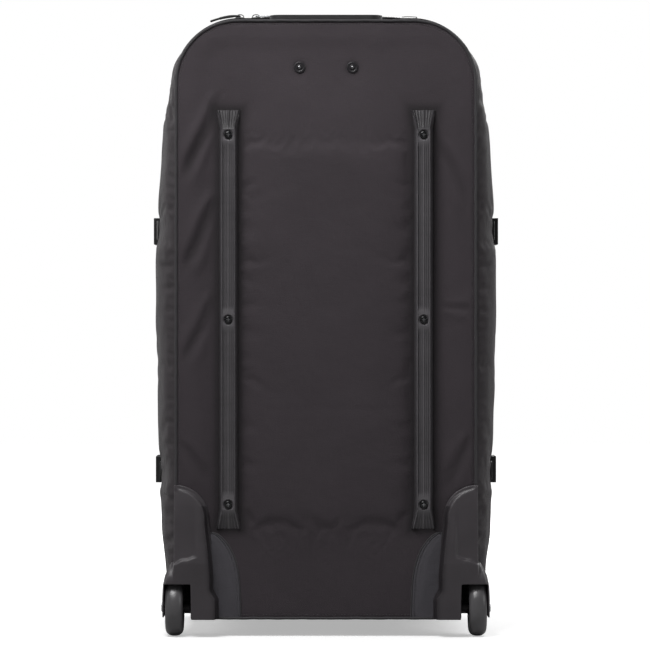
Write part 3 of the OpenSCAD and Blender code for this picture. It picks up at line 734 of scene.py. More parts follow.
def gusset_sheet(name, seam_y, end_y, rows, low_r, seed):
    """One fabric ring from a panel seam to the zip; below the zip it runs on to the other half."""
    side = 1 if end_y > seam_y else -1
    verts, uv = [], []
    for i in range(rows):
        t = (i / (rows - 1)) ** 1.25
        share = t * abs(end_y - seam_y) / abs(ZIP_Y - seam_y)
        ring = gusset_ring(share, low_r, 1.0 if side > 0 else 0.6)
        normal = outward(ring)
        meets = ZIP_Y - side * 0.06
        reach = mix(meets, end_y, smooth(ZIP_LO[2] + 1, ZIP_LO[2] + 13, ring[:, 1]))
        y = mix(seam_y, reach, t)
        puff = side_puff(ring[:, 0], ring[:, 1]) * math.sin(math.pi * t ** 0.8 * 0.62) ** 1.2
        x, z = ring[:, 0] + normal[:, 0] * puff, ring[:, 1] + normal[:, 1] * puff
        verts.append(np.stack([x, y, z], 1))
        around = np.concatenate([[0], np.cumsum(np.linalg.norm(np.diff(ring, axis=0), axis=1))])
        uv.append(np.stack([around, y - seam_y], 1))
    verts = np.concatenate(verts)
    obj = new_object(name, verts, grid_faces(rows, AROUND, wrap_cols=True, flip=side > 0),
                     [SIDE_FABRIC, LINING], None, uv=np.concatenate(uv))
    level = np.repeat(np.linspace(0, 1, rows), AROUND)
    held = np.maximum(1 - smooth(0.0, 0.10, level), smooth(0.90, 0.98, level))
    strap = sum(bump(verts[:, 2], z, 17) for z in BUCKLE_Z) * (np.abs(verts[:, 0]) > 180)
    flat = 1 - smooth(BASE_Z + 2, BASE_Z + 26, verts[:, 2])
    top = 0.75 * smooth(670, 790, verts[:, 2])
    held = np.clip(np.maximum.reduce([held, strap, flat * 0.9, top]), 0, 1)
    settle(obj, held, slack=0.045, pressure=1.2, cap_out=2.6, cap_in=5.0)
    crumple(obj, seed, level)
    return obj


def crumple(obj, seed, level):
    """Puckers at the seam stitching, creases fanning from the straps and loose folds low down."""
    mesh = obj.data
    co, normal = read_points(mesh) / MM, read_points(mesh, "normal")
    free = np.sin(np.pi * np.clip(level, 0, 1)) ** 0.7
    broad = noise_at(co * [1, 0.6, 1], 62, seed)
    ridge = 1 - 2 * np.abs(noise_at(co * [1, 1.3, 0.55], 44, seed + 5))
    pucker = noise_at(co * [1, 0.35, 1], 9, seed + 9)
    seam = np.exp(-level * 9) + np.exp(-(1 - level) * 14)
    low = 1 - smooth(150, 290, co[:, 2])
    depth = free * (1.3 * broad + (0.9 + 1.3 * low) * ridge) + 0.55 * pucker * seam
    on_side = np.abs(co[:, 0]) > 180
    for z in BUCKLE_Z:
        for lift, tilt in ((20, 0.34), (-21, -0.3), (30, 0.62)):
            line = co[:, 2] - z - lift - tilt * (co[:, 1] - ZIP_Y)
            depth = depth + on_side * free * 1.5 * bump(line, 0, 6)
    depth = depth * smooth(BASE_Z - 1, BASE_Z + 22, co[:, 2]) * (1 - 0.6 * smooth(730, 800, co[:, 2]))
    co = co + normal * depth[:, None]
    write_points(mesh, co)
    mesh.update()


def drop_faces(obj, inside):
    """Removes the faces whose centres (in millimetres) answer to inside(x, y, z)."""
    bm = bmesh.new()
    bm.from_mesh(obj.data)
    gone = [f for f in bm.faces if inside(*(f.calc_center_median() / MM))]
    bmesh.ops.delete(bm, geom=gone, context="FACES")
    bm.to_mesh(obj.data)
    bm.free()


def hood_cutter(sign):
    """A solid a little inside the hood over one wheel, for cutting the cloth that meets it."""
    co = np.array([v.co for v in frame["nodes"]["wheel_housing_right"].data.vertices]) / MM
    y, z = co[:, 1] - WHEEL[1], co[:, 2] - WHEEL[2]
    hood = (np.hypot(y + 5, z - 33) < 28.3) | (np.hypot(y - 22, z - 24) < 35.3) | (z < -5)
    part = co[hood & (co[:, 0] > HOUSE_HI[0] - 46)]
    centre = (part.min(0) + part.max(0)) / 2
    part = centre + (part - centre) * (1 - 3.6 / (part.max(0) - part.min(0)))
    part[:, 2] = np.where(part[:, 2] < BASE_Z + 14, BASE_Z - 12, part[:, 2])
    mesh = bpy.data.meshes.new("hood_cutter")
    bm = bmesh.new()
    for point in part * [sign, 1, 1] * MM:
        bm.verts.new(point)
    found = bmesh.ops.convex_hull(bm, input=bm.verts)
    bmesh.ops.delete(bm, geom=list({v for v in found["geom_interior"] + found["geom_unused"]}),
                     context="VERTS")
    bmesh.ops.recalc_face_normals(bm, faces=bm.faces)
    bm.to_mesh(mesh)
    bm.free()
    obj = bpy.data.objects.new("hood_cutter", mesh)
    bpy.context.scene.collection.objects.link(obj)
    return obj


def build_gussets():
    """Both fabric rings, opened for the handle and cut round the wheel hoods."""
    rear = gusset_sheet("rear_gusset_cloth", BACK_Y, ZIP_Y - TAPE_W + 2, 34, BACK_LOW_R, 3.0)
    drop_faces(rear, handle_hole)
    front = gusset_sheet("front_gusset_cloth", FRONT_Y, ZIP_Y + TAPE_W - 2, 44, FRONT_LOW_R, 8.0)
    for obj, body, node in ((rear, "rear_shell", "rear_gusset"),
                            (front, "front_shell", "front_gusset")):
        fabric_finish(obj, levels=0)
        apply_modifiers(obj)
        CLOTH[body] = surface_tree(obj)
        if obj is rear:
            cut(obj, hood_cutter(1))
            cut(obj, hood_cutter(-1))
        subdivide(obj)
        finish_piece(obj, body, [node])


def surface_tree(obj):
    """The cloth as a surface that rays can be cast at, in millimetres."""
    mesh = obj.data
    return BVHTree.FromPolygons([v.co / MM for v in mesh.vertices],
                                [tuple(p.vertices) for p in mesh.polygons])


def lay_on(body, path, out, lift):
    """Moves each point of a path onto that shell's cloth, looking in against its outward side."""
    laid = np.array(path, float)
    reach = np.zeros(len(laid))
    for i, (point, direction) in enumerate(zip(laid, out)):
        start = Vector(point) + Vector(direction) * 25
        hit = CLOTH[body].ray_cast(start, -Vector(direction), 50)[0]
        if hit:
            reach[i] = 25 - (start - hit).length
    kernel = np.hanning(9)[1:-1] / np.hanning(9).sum()
    reach = np.convolve(np.pad(reach, 3, mode="edge"), kernel, mode="valid")
    return laid + np.asarray(out) * (reach + lift)[:, None]


def cloth_top(x, y):
    """Height of the rear shell's cloth at a place on its top."""
    return CLOTH["rear_shell"].ray_cast(Vector((x, y, CREST_TOP + 60)), Vector((0, 0, -1)))[0].z


def handle_hole(x, y, z):
    """True over the slot in the top where the handle's bezel comes through."""
    lo, hi = BEZEL
    half = (hi[1] - lo[1]) / 2 - 1.2
    middle = (lo[1] + hi[1]) / 2
    dx = max(abs(x) - (hi[0] - (hi[1] - lo[1]) / 2), 0)
    return z > 700 and math.hypot(dx, y - middle) < half


# ---------------------------------------------------------------- back panel

RAIL_LO, RAIL_HI = box_mm("skid_rail_right")
RAIL_X = (RAIL_LO[0] + RAIL_HI[0]) / 2
RAIL_W = RAIL_HI[0] - RAIL_LO[0]
SCREW_LO, SCREW_HI = box_mm("rail_screws")
HEAD_R = SCREW_HI[0] - RAIL_X
SCREW_Z = np.linspace(SCREW_LO[2] + HEAD_R, SCREW_HI[2] - HEAD_R, 3)
RIVET_LO, RIVET_HI = box_mm("handle_rivets")
RIVET_R = (RIVET_HI[2] - RIVET_LO[2]) / 2
RIVET_X = RIVET_HI[0] - RIVET_R
RIVET_Z = (RIVET_LO[2] + RIVET_HI[2]) / 2
BEZEL = box_mm("handle_bezel")


def half_width(f, z, low_r=20.0, inset=0.0):
    """Half the width of the outline at heights z."""
    ring = outline(f, 1400, inset, low_r)
    right = ring[ring[:, 0] >= 0]
    order = np.argsort(right[:, 1], kind="stable")
    right = right[order]
    keep = np.concatenate([[True], np.diff(right[:, 1]) > 1e-6])
    return np.interp(z, right[keep, 1], right[keep, 0])


def panel_grid(y, low_r, rows, cols):
    """Rows of points across the panel, closing in with its rounded corners."""
    z = mix(BASE_Z + 0.4, SEAM_TOP - 0.4, np.linspace(0, 1, rows))
    w = half_width(0, z, low_r)
    u = np.linspace(-1, 1, cols)
    x = w[:, None] * u[None]
    return np.stack([x, np.full_like(x, y), np.repeat(z[:, None], cols, 1)], -1).reshape(-1, 3)


RAIL_RAMP = 26.0            # length of the rail's sloping, flared ends
RAIL_FOOT = 12.6            # half the rail's width where it meets the cloth, between its ends


def rail_half(z):
    """Half the rail's width on the cloth: slim along its run and flared at both ends."""
    end = np.minimum(z - RAIL_LO[2], RAIL_HI[2] - z)
    return RAIL_FOOT + (RAIL_W / 2 - RAIL_FOOT) * (1 - np.clip(end / RAIL_RAMP, 0, 1)) ** 1.1


def rail_distance(x, z):
    """Distance outside the nearer rail's footprint, negative on it."""
    dx = np.abs(np.abs(x) - RAIL_X) - rail_half(z)
    dz = np.maximum(RAIL_LO[2] - z, z - RAIL_HI[2])
    return np.maximum(dx, dz)


def build_back_panel():
    """The padded back: crowned cloth drawn in by rails, rivets and seam, with diagonal pulls."""
    rows, cols = 200, 100
    verts = panel_grid(BACK_Y, BACK_LOW_R, rows, cols)
    x, z = verts[:, 0], verts[:, 2]
    edge = np.minimum(half_width(0, z) - np.abs(x), np.minimum(SEAM_TOP - z, z - BASE_Z))
    near_rail = rail_distance(x, z)
    crown = 3.4 * smooth(0, 70, edge) * (1 - 0.85 * smooth(60, -4, near_rail)) * smooth(60, 200, z)
    middle = 2.2 * (1 - (x / RAIL_X) ** 2).clip(0) * smooth(80, 300, z) * smooth(10, 90, SEAM_TOP - z)
    high = 0.12 + 0.88 * smooth(50, 190, SEAM_TOP - z)
    out = (crown + middle) * high - 1.6 * bump(near_rail, 5, 9)
    out = out + 1.7 * smooth(0, 6, edge) * smooth(45, 18, edge) * smooth(BASE_Z + 40, BASE_Z + 90, z)
    rivet_gap = np.minimum(*(np.hypot(x - s * RIVET_X, z - RIVET_Z) for s in (-1, 1)))
    out = out * smooth(5, 26, rivet_gap)
    verts[:, 1] -= out
    obj = new_object("back_panel_cloth", verts, grid_faces(rows, cols), [FABRIC, LINING], None,
                     uv=np.stack([x, z], 1))
    rivets = sum(np.exp(-((x - s * RIVET_X) ** 2 + (z - RIVET_Z) ** 2) / 11 ** 2) for s in (-1, 1))
    plate = (np.abs(x) > 138) & (z < 150)
    held = np.maximum.reduce([1 - smooth(1, 11, edge), 1 - smooth(-4, 5, near_rail),
                              rivets, plate.astype(float), 0.55 * (1 - smooth(60, 190, z)),
                              0.75 * smooth(RAIL_X - 8, RAIL_X + 12, np.abs(x)),
                              0.75 * smooth(190, 110, SEAM_TOP - z)])
    settle(obj, np.clip(held, 0, 1), slack=0.013, pressure=0.8, cap_out=2.6, cap_in=2.0)
    mesh = obj.data
    co = read_points(mesh) / MM
    free = smooth(0, 16, edge) * smooth(-1, 9, near_rail) * smooth(6, 20, rivet_gap)
    wave = 0.9 * noise_at(verts * [1, 1, 0.6], 95, 2.0) + 0.35 * noise_at(verts, 30, 6.0)
    pulls = [((-RAIL_X - 10, RAIL_HI[2] + 24 - 131 * k), (-SEAM_HALF + 6, RAIL_HI[2] - 100 - 122 * k),
              4.6 - 0.9 * k, 5.5) for k in range(3)]
    pulls += [((RAIL_X + 16, 668), (SEAM_HALF - 2, 564), 2.2, 6),
              ((RAIL_X + 20, 442), (SEAM_HALF, 436), 1.4, 4),
              ((SEAM_HALF - 4, 272), (RAIL_X + 28, 196), 2.4, 6),
              ((-SEAM_HALF + 4, 262), (-RAIL_X - 24, 205), 1.8, 6)]
    dark = 0 * x
    for start, end, height, width in pulls:
        crease, valley = fold(x, z, start, end, height, width)
        wave = wave + crease
        dark = dark + valley * height / 4.6
    pucker = 0.35 * noise_at(verts, 8, 4.0) * (1 - smooth(2, 16, edge))
    co[:, 1] -= wave * free + pucker
    co[:, 1] = np.minimum(co[:, 1], BACK_Y - 0.35)
    # the cloth tucks under each rail and down to the seam round its edge
    hidden = (np.abs(near_rail + 6) < 6) | (near_rail < -6)
    co[:, 1] = np.where(hidden, np.maximum(co[:, 1], BACK_Y - 0.2), co[:, 1])
    write_points(mesh, co)
    # painted shade: the fold valleys, a band along each rail and round the panel's edge, and a ring
    # round each rivet are darkened in the colour
    groove = bump(near_rail, 0, 8) + 0.12 * bump(edge, 0, 2.0)
    ring = 0.7 * bump(rivet_gap, RIVET_R, 2.5)
    set_shade(obj, 0.62 * dark * free + groove * (near_rail > -9) + ring)
    drop_faces(obj, lambda px, py, pz: abs(px) > 172 and pz < 104)
    fabric_finish(obj)
    finish_piece(obj, "rear_shell", ["back_panel"])


def build_piping(name, body, y, side, low_r, node):
    """Covered cord sewn into the seam round a panel, with a line of stitching beside it."""
    n = 720
    path, up = ring_path(0, y, n, raise_by=-0.3, low_r=low_r)
    ripple = 0.12 * np.array([math.sin(k * 0.9) + math.sin(k * 0.37) for k in range(n)])
    path = path + up * ripple[:, None]
    if side < 0:
        keep = ~((np.abs(path[:, 0]) > 172) & (path[:, 2] < 196))
        start = int(np.argmax(~keep))
        order = np.roll(np.arange(n), -start)
        runs = np.split(order, np.where(np.diff(keep[order].astype(int)) != 0)[0] + 1)
        runs = [r for r in runs if keep[r[0]] and len(r) > 4]
    else:
        runs = [np.arange(n)]
    parts = []
    for run in runs:
        closed = len(run) == n
        parts.append((*sweep(path[run], up[run], circle(1.9, 10), closed=closed), 0))
        inner, _ = ring_path(0, y + side * 0.1, n, raise_by=-5.0, low_r=low_r)
        lift = (0.0, float(side), 0.0)
        if len(run) > 40:
            parts.append((*stitches(inner[run], lift, 4.2, 3.0, 0.7, closed=closed), 1))
    verts, faces, index = join(parts)
    obj = new_object(name, verts, faces, [PIPING, THREAD], body, face_material=index,
                     replaces=[node])
    return obj


def build_patches():
    """Reinforcing patches beside the wheel housings, bound and double-stitched along the curve."""
    ctrl = np.array([(152, 138), (146, 137), (138, 131), (130, 121), (123, 108), (118.4, 92),
                     (115.6, 74), (114.4, 52), (113.8, BASE_Z + 1)])
    for _ in range(3):
        q, r = ctrl[:-1] * 0.75 + ctrl[1:] * 0.25, ctrl[:-1] * 0.25 + ctrl[1:] * 0.75
        ctrl = np.vstack([ctrl[:1], np.stack([q, r], 1).reshape(-1, 2), ctrl[-1:]])
    curve = resample_open(ctrl, 60)
    inner = np.stack([np.full(60, 160.0), curve[:, 1]], 1)
    cols = 22
    grid = np.stack([mix(curve, inner, u) for u in np.linspace(0, 1, cols) ** 1.2], 1)
    x, z = grid[..., 0].ravel(), grid[..., 1].ravel()
    inward = np.repeat(np.linspace(0, 1, cols)[None] ** 1.2, 60, 0).ravel()
    across = inward * (160 - np.repeat(curve[:, 0], cols))
    puff = 1.0 + 0.9 * smooth(0, 2.2, across) - 0.8 * bump(across, 4.6, 1.2)
    puff = puff + 0.9 * smooth(6, 16, across)
    puff = puff + 0.5 * noise_at(np.stack([x, x * 0, z], 1), 20, 12.0) * smooth(4, 12, across)
    verts = np.stack([x, BACK_Y - puff, z], 1)
    for sign, name in ((1, "right"), (-1, "left")):
        piece = verts * [sign, 1, 1]
        faces = grid_faces(60, cols, flip=sign < 0)
        thread_path = np.stack([curve[:, 0] + 3.2, np.full(60, BACK_Y - 1.75), curve[:, 1]], 1)
        lift = (0.0, -1.0, 0.0)
        obj = new_object(f"corner_patch_cloth_{name}", piece, faces, [PATCH_FABRIC, LINING], None,
                         uv=np.stack([x, z], 1))
        thick = obj.modifiers.new("thickness", "SOLIDIFY")
        thick.thickness = 1.4 * MM
        thick.offset = -1
        tidy_normals(obj)
        face_back(obj)
        subdivide(obj)
        finish_piece(obj, "rear_shell", [f"corner_patch_{name}"])
        parts = []
        for inset in (0.0, 5.0):
            path = (thread_path + [inset, 0, 0]) * [sign, 1, 1]
            parts.append((*stitches(path, lift, 3.6, 2.6, 0.8), 0))
        cord = np.stack([curve[:, 0] - 0.2, np.full(60, BACK_Y - 0.8), curve[:, 1]], 1) * [sign, 1, 1]
        parts.append((*sweep(cord, lift, circle(1.1, 8)), 1))
        v, f, index = join(parts)
        new_object(f"patch_stitching_{name}", v, f, [THREAD, PIPING], "rear_shell",
                   face_material=index)


def resample_open(points, n):
    """n points at equal spacing along an open line."""
    along = np.concatenate([[0], np.cumsum(np.linalg.norm(np.diff(points, axis=0), axis=1))])
    at = np.linspace(0, along[-1], n)
    return np.stack([np.interp(at, along, points[:, k]) for k in range(points.shape[1])], 1)


def face_back(obj):
    """Turns an open sheet so that its outer side looks back, away from the bag."""
    mesh = obj.data
    if sum(p.normal.y * p.area for p in mesh.polygons) > 0:
        mesh.flip_normals()


# ---------------------------------------------------------------- skid rails and fasteners

def build_rails():
    """Ribbed rails: two raised shoulders and a centre rib with fine flutes, and flared ends."""
    ramp, top_w, height = RAIL_RAMP, 18.0, BACK_Y - RAIL_LO[1]
    z0, z1 = RAIL_LO[2], RAIL_HI[2]
    stations = np.unique(np.concatenate([
        np.linspace(z0, z0 + ramp, 22), np.linspace(z0 + ramp, z1 - ramp, 160),
        np.linspace(z1 - ramp, z1, 22),
        np.concatenate([s + np.linspace(-14, 14, 29) for s in SCREW_Z])]))
    u = np.linspace(-1, 1, 81)
    a = np.abs(u)
    rows, shades = [], []
    for z in stations:
        run = float(np.clip(min(z - z0, z1 - z) / ramp, 0, 1))
        half = mix(RAIL_W - 2.4, top_w, run ** 0.92) / 2
        h = height * mix(0.2, 1.0, run ** 0.8)
        x = u * half
        near = min(abs(z - s) for s in SCREW_Z)
        fluted = float(smooth(7.0, 19.0, near))
        shoulder = 1.1 * bump(a, 0.91, 0.06)
        ribs = 1.1 * bump(a, 0.0, 0.11) + 0.45 * bump(a, 0.33, 0.055) + 0.45 * bump(a, 0.62, 0.055)
        well = -1.9 * fluted * smooth(0.90, 0.78, a)
        top_y = h - 0.7 + well + fluted * ribs + shoulder - 1.6 * smooth(0.94, 1.0, a) ** 2
        seat = smooth(7.4, 6.0, np.hypot(x, z - SCREW_Z[np.argmin(np.abs(SCREW_Z - z))]))
        top_y = mix(top_y, h - 2.4, seat)
        base = float(rail_half(np.array(z)))
        wall_x = np.array([base, base - 0.2, mix(base, half, 0.55), half + 0.45])
        wall_y = np.array([-0.5, 1.6, mix(1.6, h, 0.6), max(h - 2.0, 1.9)])
        row_x = np.concatenate([-wall_x, x, wall_x[::-1]])
        row_y = np.concatenate([wall_y, top_y, wall_y[::-1]])
        rows.append(np.stack([RAIL_X + row_x, BACK_Y - row_y, np.full(len(row_x), z)], 1))
        # painted shade: the side walls, the hollows between the flutes and the whole upturned ramp at
        # the top end are darkened in the colour
        wall = np.array([1.0, 1.0, 0.9, 0.45])
        flute = 0.5 * fluted * (1 - np.clip(ribs + shoulder, 0, 1)) * (a < 0.9)
        flute = flute + 1.0 * smooth(z1 - ramp - 5, z1 - ramp + 3, z)
        shades.append(np.concatenate([wall, flute, wall[::-1]]))
    m = len(rows[0])
    verts = np.concatenate(rows)
    faces = [tuple(f) for f in grid_faces(len(rows), m, wrap_cols=True)]
    faces += [tuple(range(m - 1, -1, -1)), tuple(range((len(rows) - 1) * m, len(rows) * m))]
    for sign, name in ((1, "right"), (-1, "left")):
        obj = new_object(f"ribbed_rail_{name}", verts * [sign, 1, 1], faces, [RAIL], "rear_shell",
                         replaces=[f"skid_rail_{name}"])
        set_shade(obj, np.concatenate(shades))
        tidy_normals(obj)
        shade_by_angle(obj, 42)


def head_with_recess(name, profile, recess_half, recess_w, depth_from, material, spots, node):
    """Screw or rivet heads: a turned profile, with a cross recess where one is wanted."""
    verts, faces = lathe(profile, 40)
    proto = new_object(name, verts, faces, [material], None)
    tidy_normals(proto)
    if recess_half:
        for turn in (0, 90):
            bar = placed_box((2 * recess_half, recess_w, 6), (0, 0, depth_from + 3))
            spin = Matrix.Rotation(math.radians(turn), 3, "Z")
            cutter = new_object("recess", placed(bar[0], (0, 0, 0), spin), bar[1], [material], None,
                                flat=True)
            tidy_normals(cutter)
            cut(proto, cutter)
    co = np.array([v.co for v in proto.data.vertices]) / MM
    polys = [tuple(p.vertices) for p in proto.data.polygons]
    parts = [(placed(co, at, TO_BACK), polys, 0) for at in spots]
    bpy.data.objects.remove(proto)
    v, f, index = join(parts)
    obj = new_object(name, v, f, [material], "rear_shell", replaces=[node])
    shade_by_angle(obj, 32)
    return obj


def placed_box(size, at):
    """A block, used only to cut the screws' cross recesses."""
    sx, sy, sz = (s / 2 for s in size)
    verts = np.array([(x, y, z) for z in (-sz, sz) for y in (-sy, sy) for x in (-sx, sx)]) + at
    faces = [(0, 2, 3, 1), (4, 5, 7, 6), (0, 1, 5, 4), (2, 6, 7, 3), (0, 4, 6, 2), (1, 3, 7, 5)]
    return verts, faces


def build_fasteners():
    """Rail screws with cross recesses, and dished handle rivets; bright plated steel in the screw
    recesses and at the rivet centres is a painted highlight, standing in for a glint.
    """
    rail_h = BACK_Y - RAIL_LO[1]
    pan = arc_profile([(0.01, 0), (0.02, 2.3), (2.2, 2.28), (4.2, 1.75), (HEAD_R, 0.4),
                       (HEAD_R, -1.4), (2.4, -1.5), (2.4, -rail_h - 8), (0.01, -rail_h - 8)], 0.6, 4)
    spots = [(s * RAIL_X, BACK_Y - rail_h + 1.3, z) for s in (-1, 1) for z in SCREW_Z]
    obj = head_with_recess("rail_screw_heads", pan, 2.5, 1.15, 0.7, BLACK_STEEL, spots,
                           "rail_screws")
    # painted highlight: the faces inside each cross recess are bright plated steel, standing in for a
    # glint on the black head
    obj.data.materials.append(STEEL)
    for poly in obj.data.polygons:
        c = Vector(poly.center) / MM
        near = min(math.hypot(abs(c.x) - RAIL_X, c.z - z) for z in SCREW_Z)
        deep = c.y - (BACK_Y - rail_h + 1.3 - 1.75)
        poly.material_index = 1 if near < 2.7 and deep > 0.4 and abs(poly.normal.y) > 0.5 else 0
    washer = arc_profile([(0.01, 2.9), (1.2, 2.85), (2.6, 2.3), (3.3, 1.2), (3.5, 0.9), (4.6, 0.75),
                          (5.4, 1.25), (7.0, 1.2), (RIVET_R, 0.5), (RIVET_R, -0.9), (2.5, -1.0),
                          (2.5, -9), (0.01, -9)], 0.4, 4)
    spots = [(s * RIVET_X, BACK_Y - 0.7, RIVET_Z) for s in (-1, 1)]
    obj = head_with_recess("handle_rivet_heads", washer, 0, 0, 0, ENAMEL, spots,
                           "handle_rivets")
    # painted highlight: a small spot of bright plated steel at each rivet's centre stands in for a glint
    obj.data.materials.append(STEEL)
    for poly in obj.data.polygons:
        c = Vector(poly.center) / MM
        near = min(math.hypot(c.x - s * RIVET_X, c.z - RIVET_Z) for s in (-1, 1))
        poly.material_index = 1 if near < 1.5 else 0


# ---------------------------------------------------------------- wheel housings and wheels

def build_housings():
    """Moulded housings: the CAD shape rounded off all over, with a ledge and a soft dish."""
    for name, sign in (("right", 1), ("left", -1)):
        node = f"wheel_housing_{name}"
        shell = frame["nodes"][node].data
        co = np.array([v.co for v in shell.vertices]) / MM
        parts = [(co, [tuple(p.vertices) for p in shell.polygons], 0)]
        parts += [(v * [sign, 1, 1], f if sign > 0 else [q[::-1] for q in f], 0)
                  for v, f in housing_face_solids()]
        v, f, _ = join(parts)
        obj = new_object(f"moulded_housing_{name}", v, f, [HOUSING], None)
        grain = obj.modifiers.new("grain", "REMESH")
        grain.mode = "VOXEL"
        grain.voxel_size = 0.95 * MM
        grain.use_smooth_shade = True
        ease = obj.modifiers.new("ease", "SMOOTH")
        ease.factor = 0.5
        ease.iterations = 9
        apply_modifiers(obj)
        # painted shade along the face's sloping border and inside the wheel arch
        paint_housing_shade(obj, sign)
        obj.data.polygons.foreach_set("use_smooth", [True] * len(obj.data.polygons))
        finish_piece(obj, "rear_shell", [node])


def housing_edge(z):
    """The inner edge of the housing's face at height z: an arc above, a straight flank, a foot."""
    arc_x, arc_z, arc_r = HOUSE_HI[0] - 16.6, BASE_Z + 133, 45.0
    flank = 150 + 6.2 * np.clip((z - BASE_Z - 60) / 67, 0, None)
    arc = arc_x - np.sqrt(np.clip(arc_r ** 2 - np.clip(z - arc_z, 0, None) ** 2, 0, None))
    edge = np.where(z > arc_z - 6, np.maximum(arc, 0), flank)
    return edge - 7.4 * smooth(BASE_Z + 41, BASE_Z + 25, z)


def housing_face_solids():
    """Extra thickness on the face: a crowned plate with a sloping border, swelling into the hood."""
    solids = []
    top = BASE_Z + 177.4
    line_z = np.linspace(BASE_Z - 20, top, 260)
    line_x = housing_edge(line_z)
    for z_lo, z_hi, far_x in ((BASE_Z + 47.5, top, 202.3), (BASE_Z - 0.4, BASE_Z + 65, 179.4)):
        rows, cols = max(int((z_hi - z_lo) / 1.1), 8), 56
        z = np.linspace(z_lo, z_hi, rows)
        edge = housing_edge(z)
        u = np.linspace(0, 1, cols) ** 1.25
        x = edge[:, None] + (far_x - edge)[:, None] * u[None]
        zz = np.repeat(z[:, None], cols, 1)
        gap = np.min(np.hypot(x[..., None] - line_x, zz[..., None] - line_z), -1)
        full = 5.6 + 16.0 * np.clip((BASE_Z + 170 - zz) / 96, 0, 1) ** 0.9
        wall = smooth(0.0, mix(7.5, 5.0, smooth(10, 20, full)), gap)
        crest = BASE_Z + 79 + 4 * smooth(186, 173, x) - 6 * smooth(190, 203, x)
        recess = 3.4 * smooth(171, 176, x) * smooth(crest - 1.0, crest + 1.4, zz)
        recess = recess * smooth(crest + 80, crest + 8, zz)
        depth = full * wall - recess
        front = np.stack([x, BACK_Y - 1.6 - depth, zz], -1).reshape(-1, 3)
        well = np.sqrt(np.clip(41.5 ** 2 - (zz - WHEEL[2]) ** 2, 0, None))
        well_y = np.where((well > 0) & (zz > BASE_Z + 44) & (x > 177), WHEEL[1] - well - 1.5, BACK_Y)
        back = np.stack([x, np.minimum(BACK_Y - 0.3, well_y), zz], -1).reshape(-1, 3)
        faces = [tuple(f) for f in grid_faces(rows, cols)]
        n = rows * cols
        faces += [tuple(int(i) + n for i in f[::-1]) for f in grid_faces(rows, cols)]
        rim = ([c for c in range(cols)] + [r * cols + cols - 1 for r in range(1, rows)]
               + [(rows - 1) * cols + c for c in range(cols - 2, -1, -1)]
               + [r * cols for r in range(rows - 2, 0, -1)])
        faces += [(b, a, a + n, b + n) for a, b in zip(rim, rim[1:] + rim[:1])]
        solids.append((np.concatenate([front, back]), faces))
    return solids


def paint_housing_shade(obj, sign):
    """Painted shade in the sloping border of the face and inside the wheel arch."""
    co = read_points(obj.data) / MM
    x, z = co[:, 0] * sign, co[:, 2]
    inner = x - housing_edge(z)
    side = bump(inner, 2.5, 5.0) * (z < BASE_Z + 150) * (co[:, 1] < BACK_Y + 1)
    arch = smooth(WHEEL[1] - 22, WHEEL[1] + 6, co[:, 1]) * (x > 179) * (z < WHEEL[2] + 44)
    set_shade(obj, 0.8 * side + arch)


def build_wheels():
    """Cast tyres: a turned, rounded tread with shoulders."""
    half = (TYRE_HI[0] - TYRE_LO[0]) / 2
    r = (TYRE_HI[2] - TYRE_LO[2]) / 2
    inner = 27.02
    tread = [(inner, -half + 1.0), (inner + 0.6, -half + 0.2), (r - 8, -half), (r - 3.8, -half + 1.6),
             (r - 1.0, -half + 5.2), (r - 0.15, -half + 9), (r, 0)]
    tread = tread + [(a, -b) for a, b in tread[-2::-1]]
    verts, _ = lathe(arc_profile(tread, 2.2, 4), 96)
    m = len(verts) // 96
    faces = [tuple(f) for f in grid_faces(m, 96, wrap_rows=True, wrap_cols=True)]
    for sign, name in ((1, "right"), (-1, "left")):
        at = (sign * WHEEL[0], WHEEL[1], WHEEL[2])
        obj = new_object(f"cast_tyre_{name}", placed(verts, at, TO_SIDE), faces, [URETHANE],
                         f"wheel_{name}", replaces=[f"tyre_{name}"])
        tidy_normals(obj)
        shade_by_angle(obj, 50)


# ---------------------------------------------------------------- zips

def coil(path, out, across, reach, pitch=1.9, shift=0.0):
    """Interlocking zip teeth along a path: rounded lugs that lean from tape to tape."""
    gone = np.concatenate([[0], np.cumsum(np.linalg.norm(np.diff(path, axis=0), axis=1))])
    section = np.array([(-0.5, 0), (-0.35, 0.75), (0, 1.0), (0.35, 0.75), (0.5, 0)])
    verts, faces = [], []
    for middle in np.arange(pitch, gone[-1] - pitch, pitch) + shift * pitch:
        at = np.array([np.interp(middle, gone, path[:, k]) for k in range(3)])
        lift = np.array([np.interp(middle, gone, out[:, k]) for k in range(3)])
        side = np.array([np.interp(middle, gone, across[:, k]) for k in range(3)])
        along = np.cross(side, lift)
        n = len(verts)
        for k, (reach_k, scale) in enumerate(((0, 0.8), (reach * 0.55, 1.0), (reach, 0.7))):
            for a, b in section:
                verts.append(at + side * reach_k + along * a * 1.1 * scale + lift * b * 1.35 * scale)
        for k in range(2):
            for j in range(4):
                a = n + k * 5 + j
                faces.append((a, a + 1, a + 6, a + 5))
        faces.append((n + 4, n + 3, n + 2, n + 1, n))
        faces.append((n + 10, n + 11, n + 12, n + 13, n + 14))
        for k in range(2):
            faces.append((n + k * 5, n + k * 5 + 5, n + k * 5 + 9, n + k * 5 + 4))
    return np.array(verts), faces


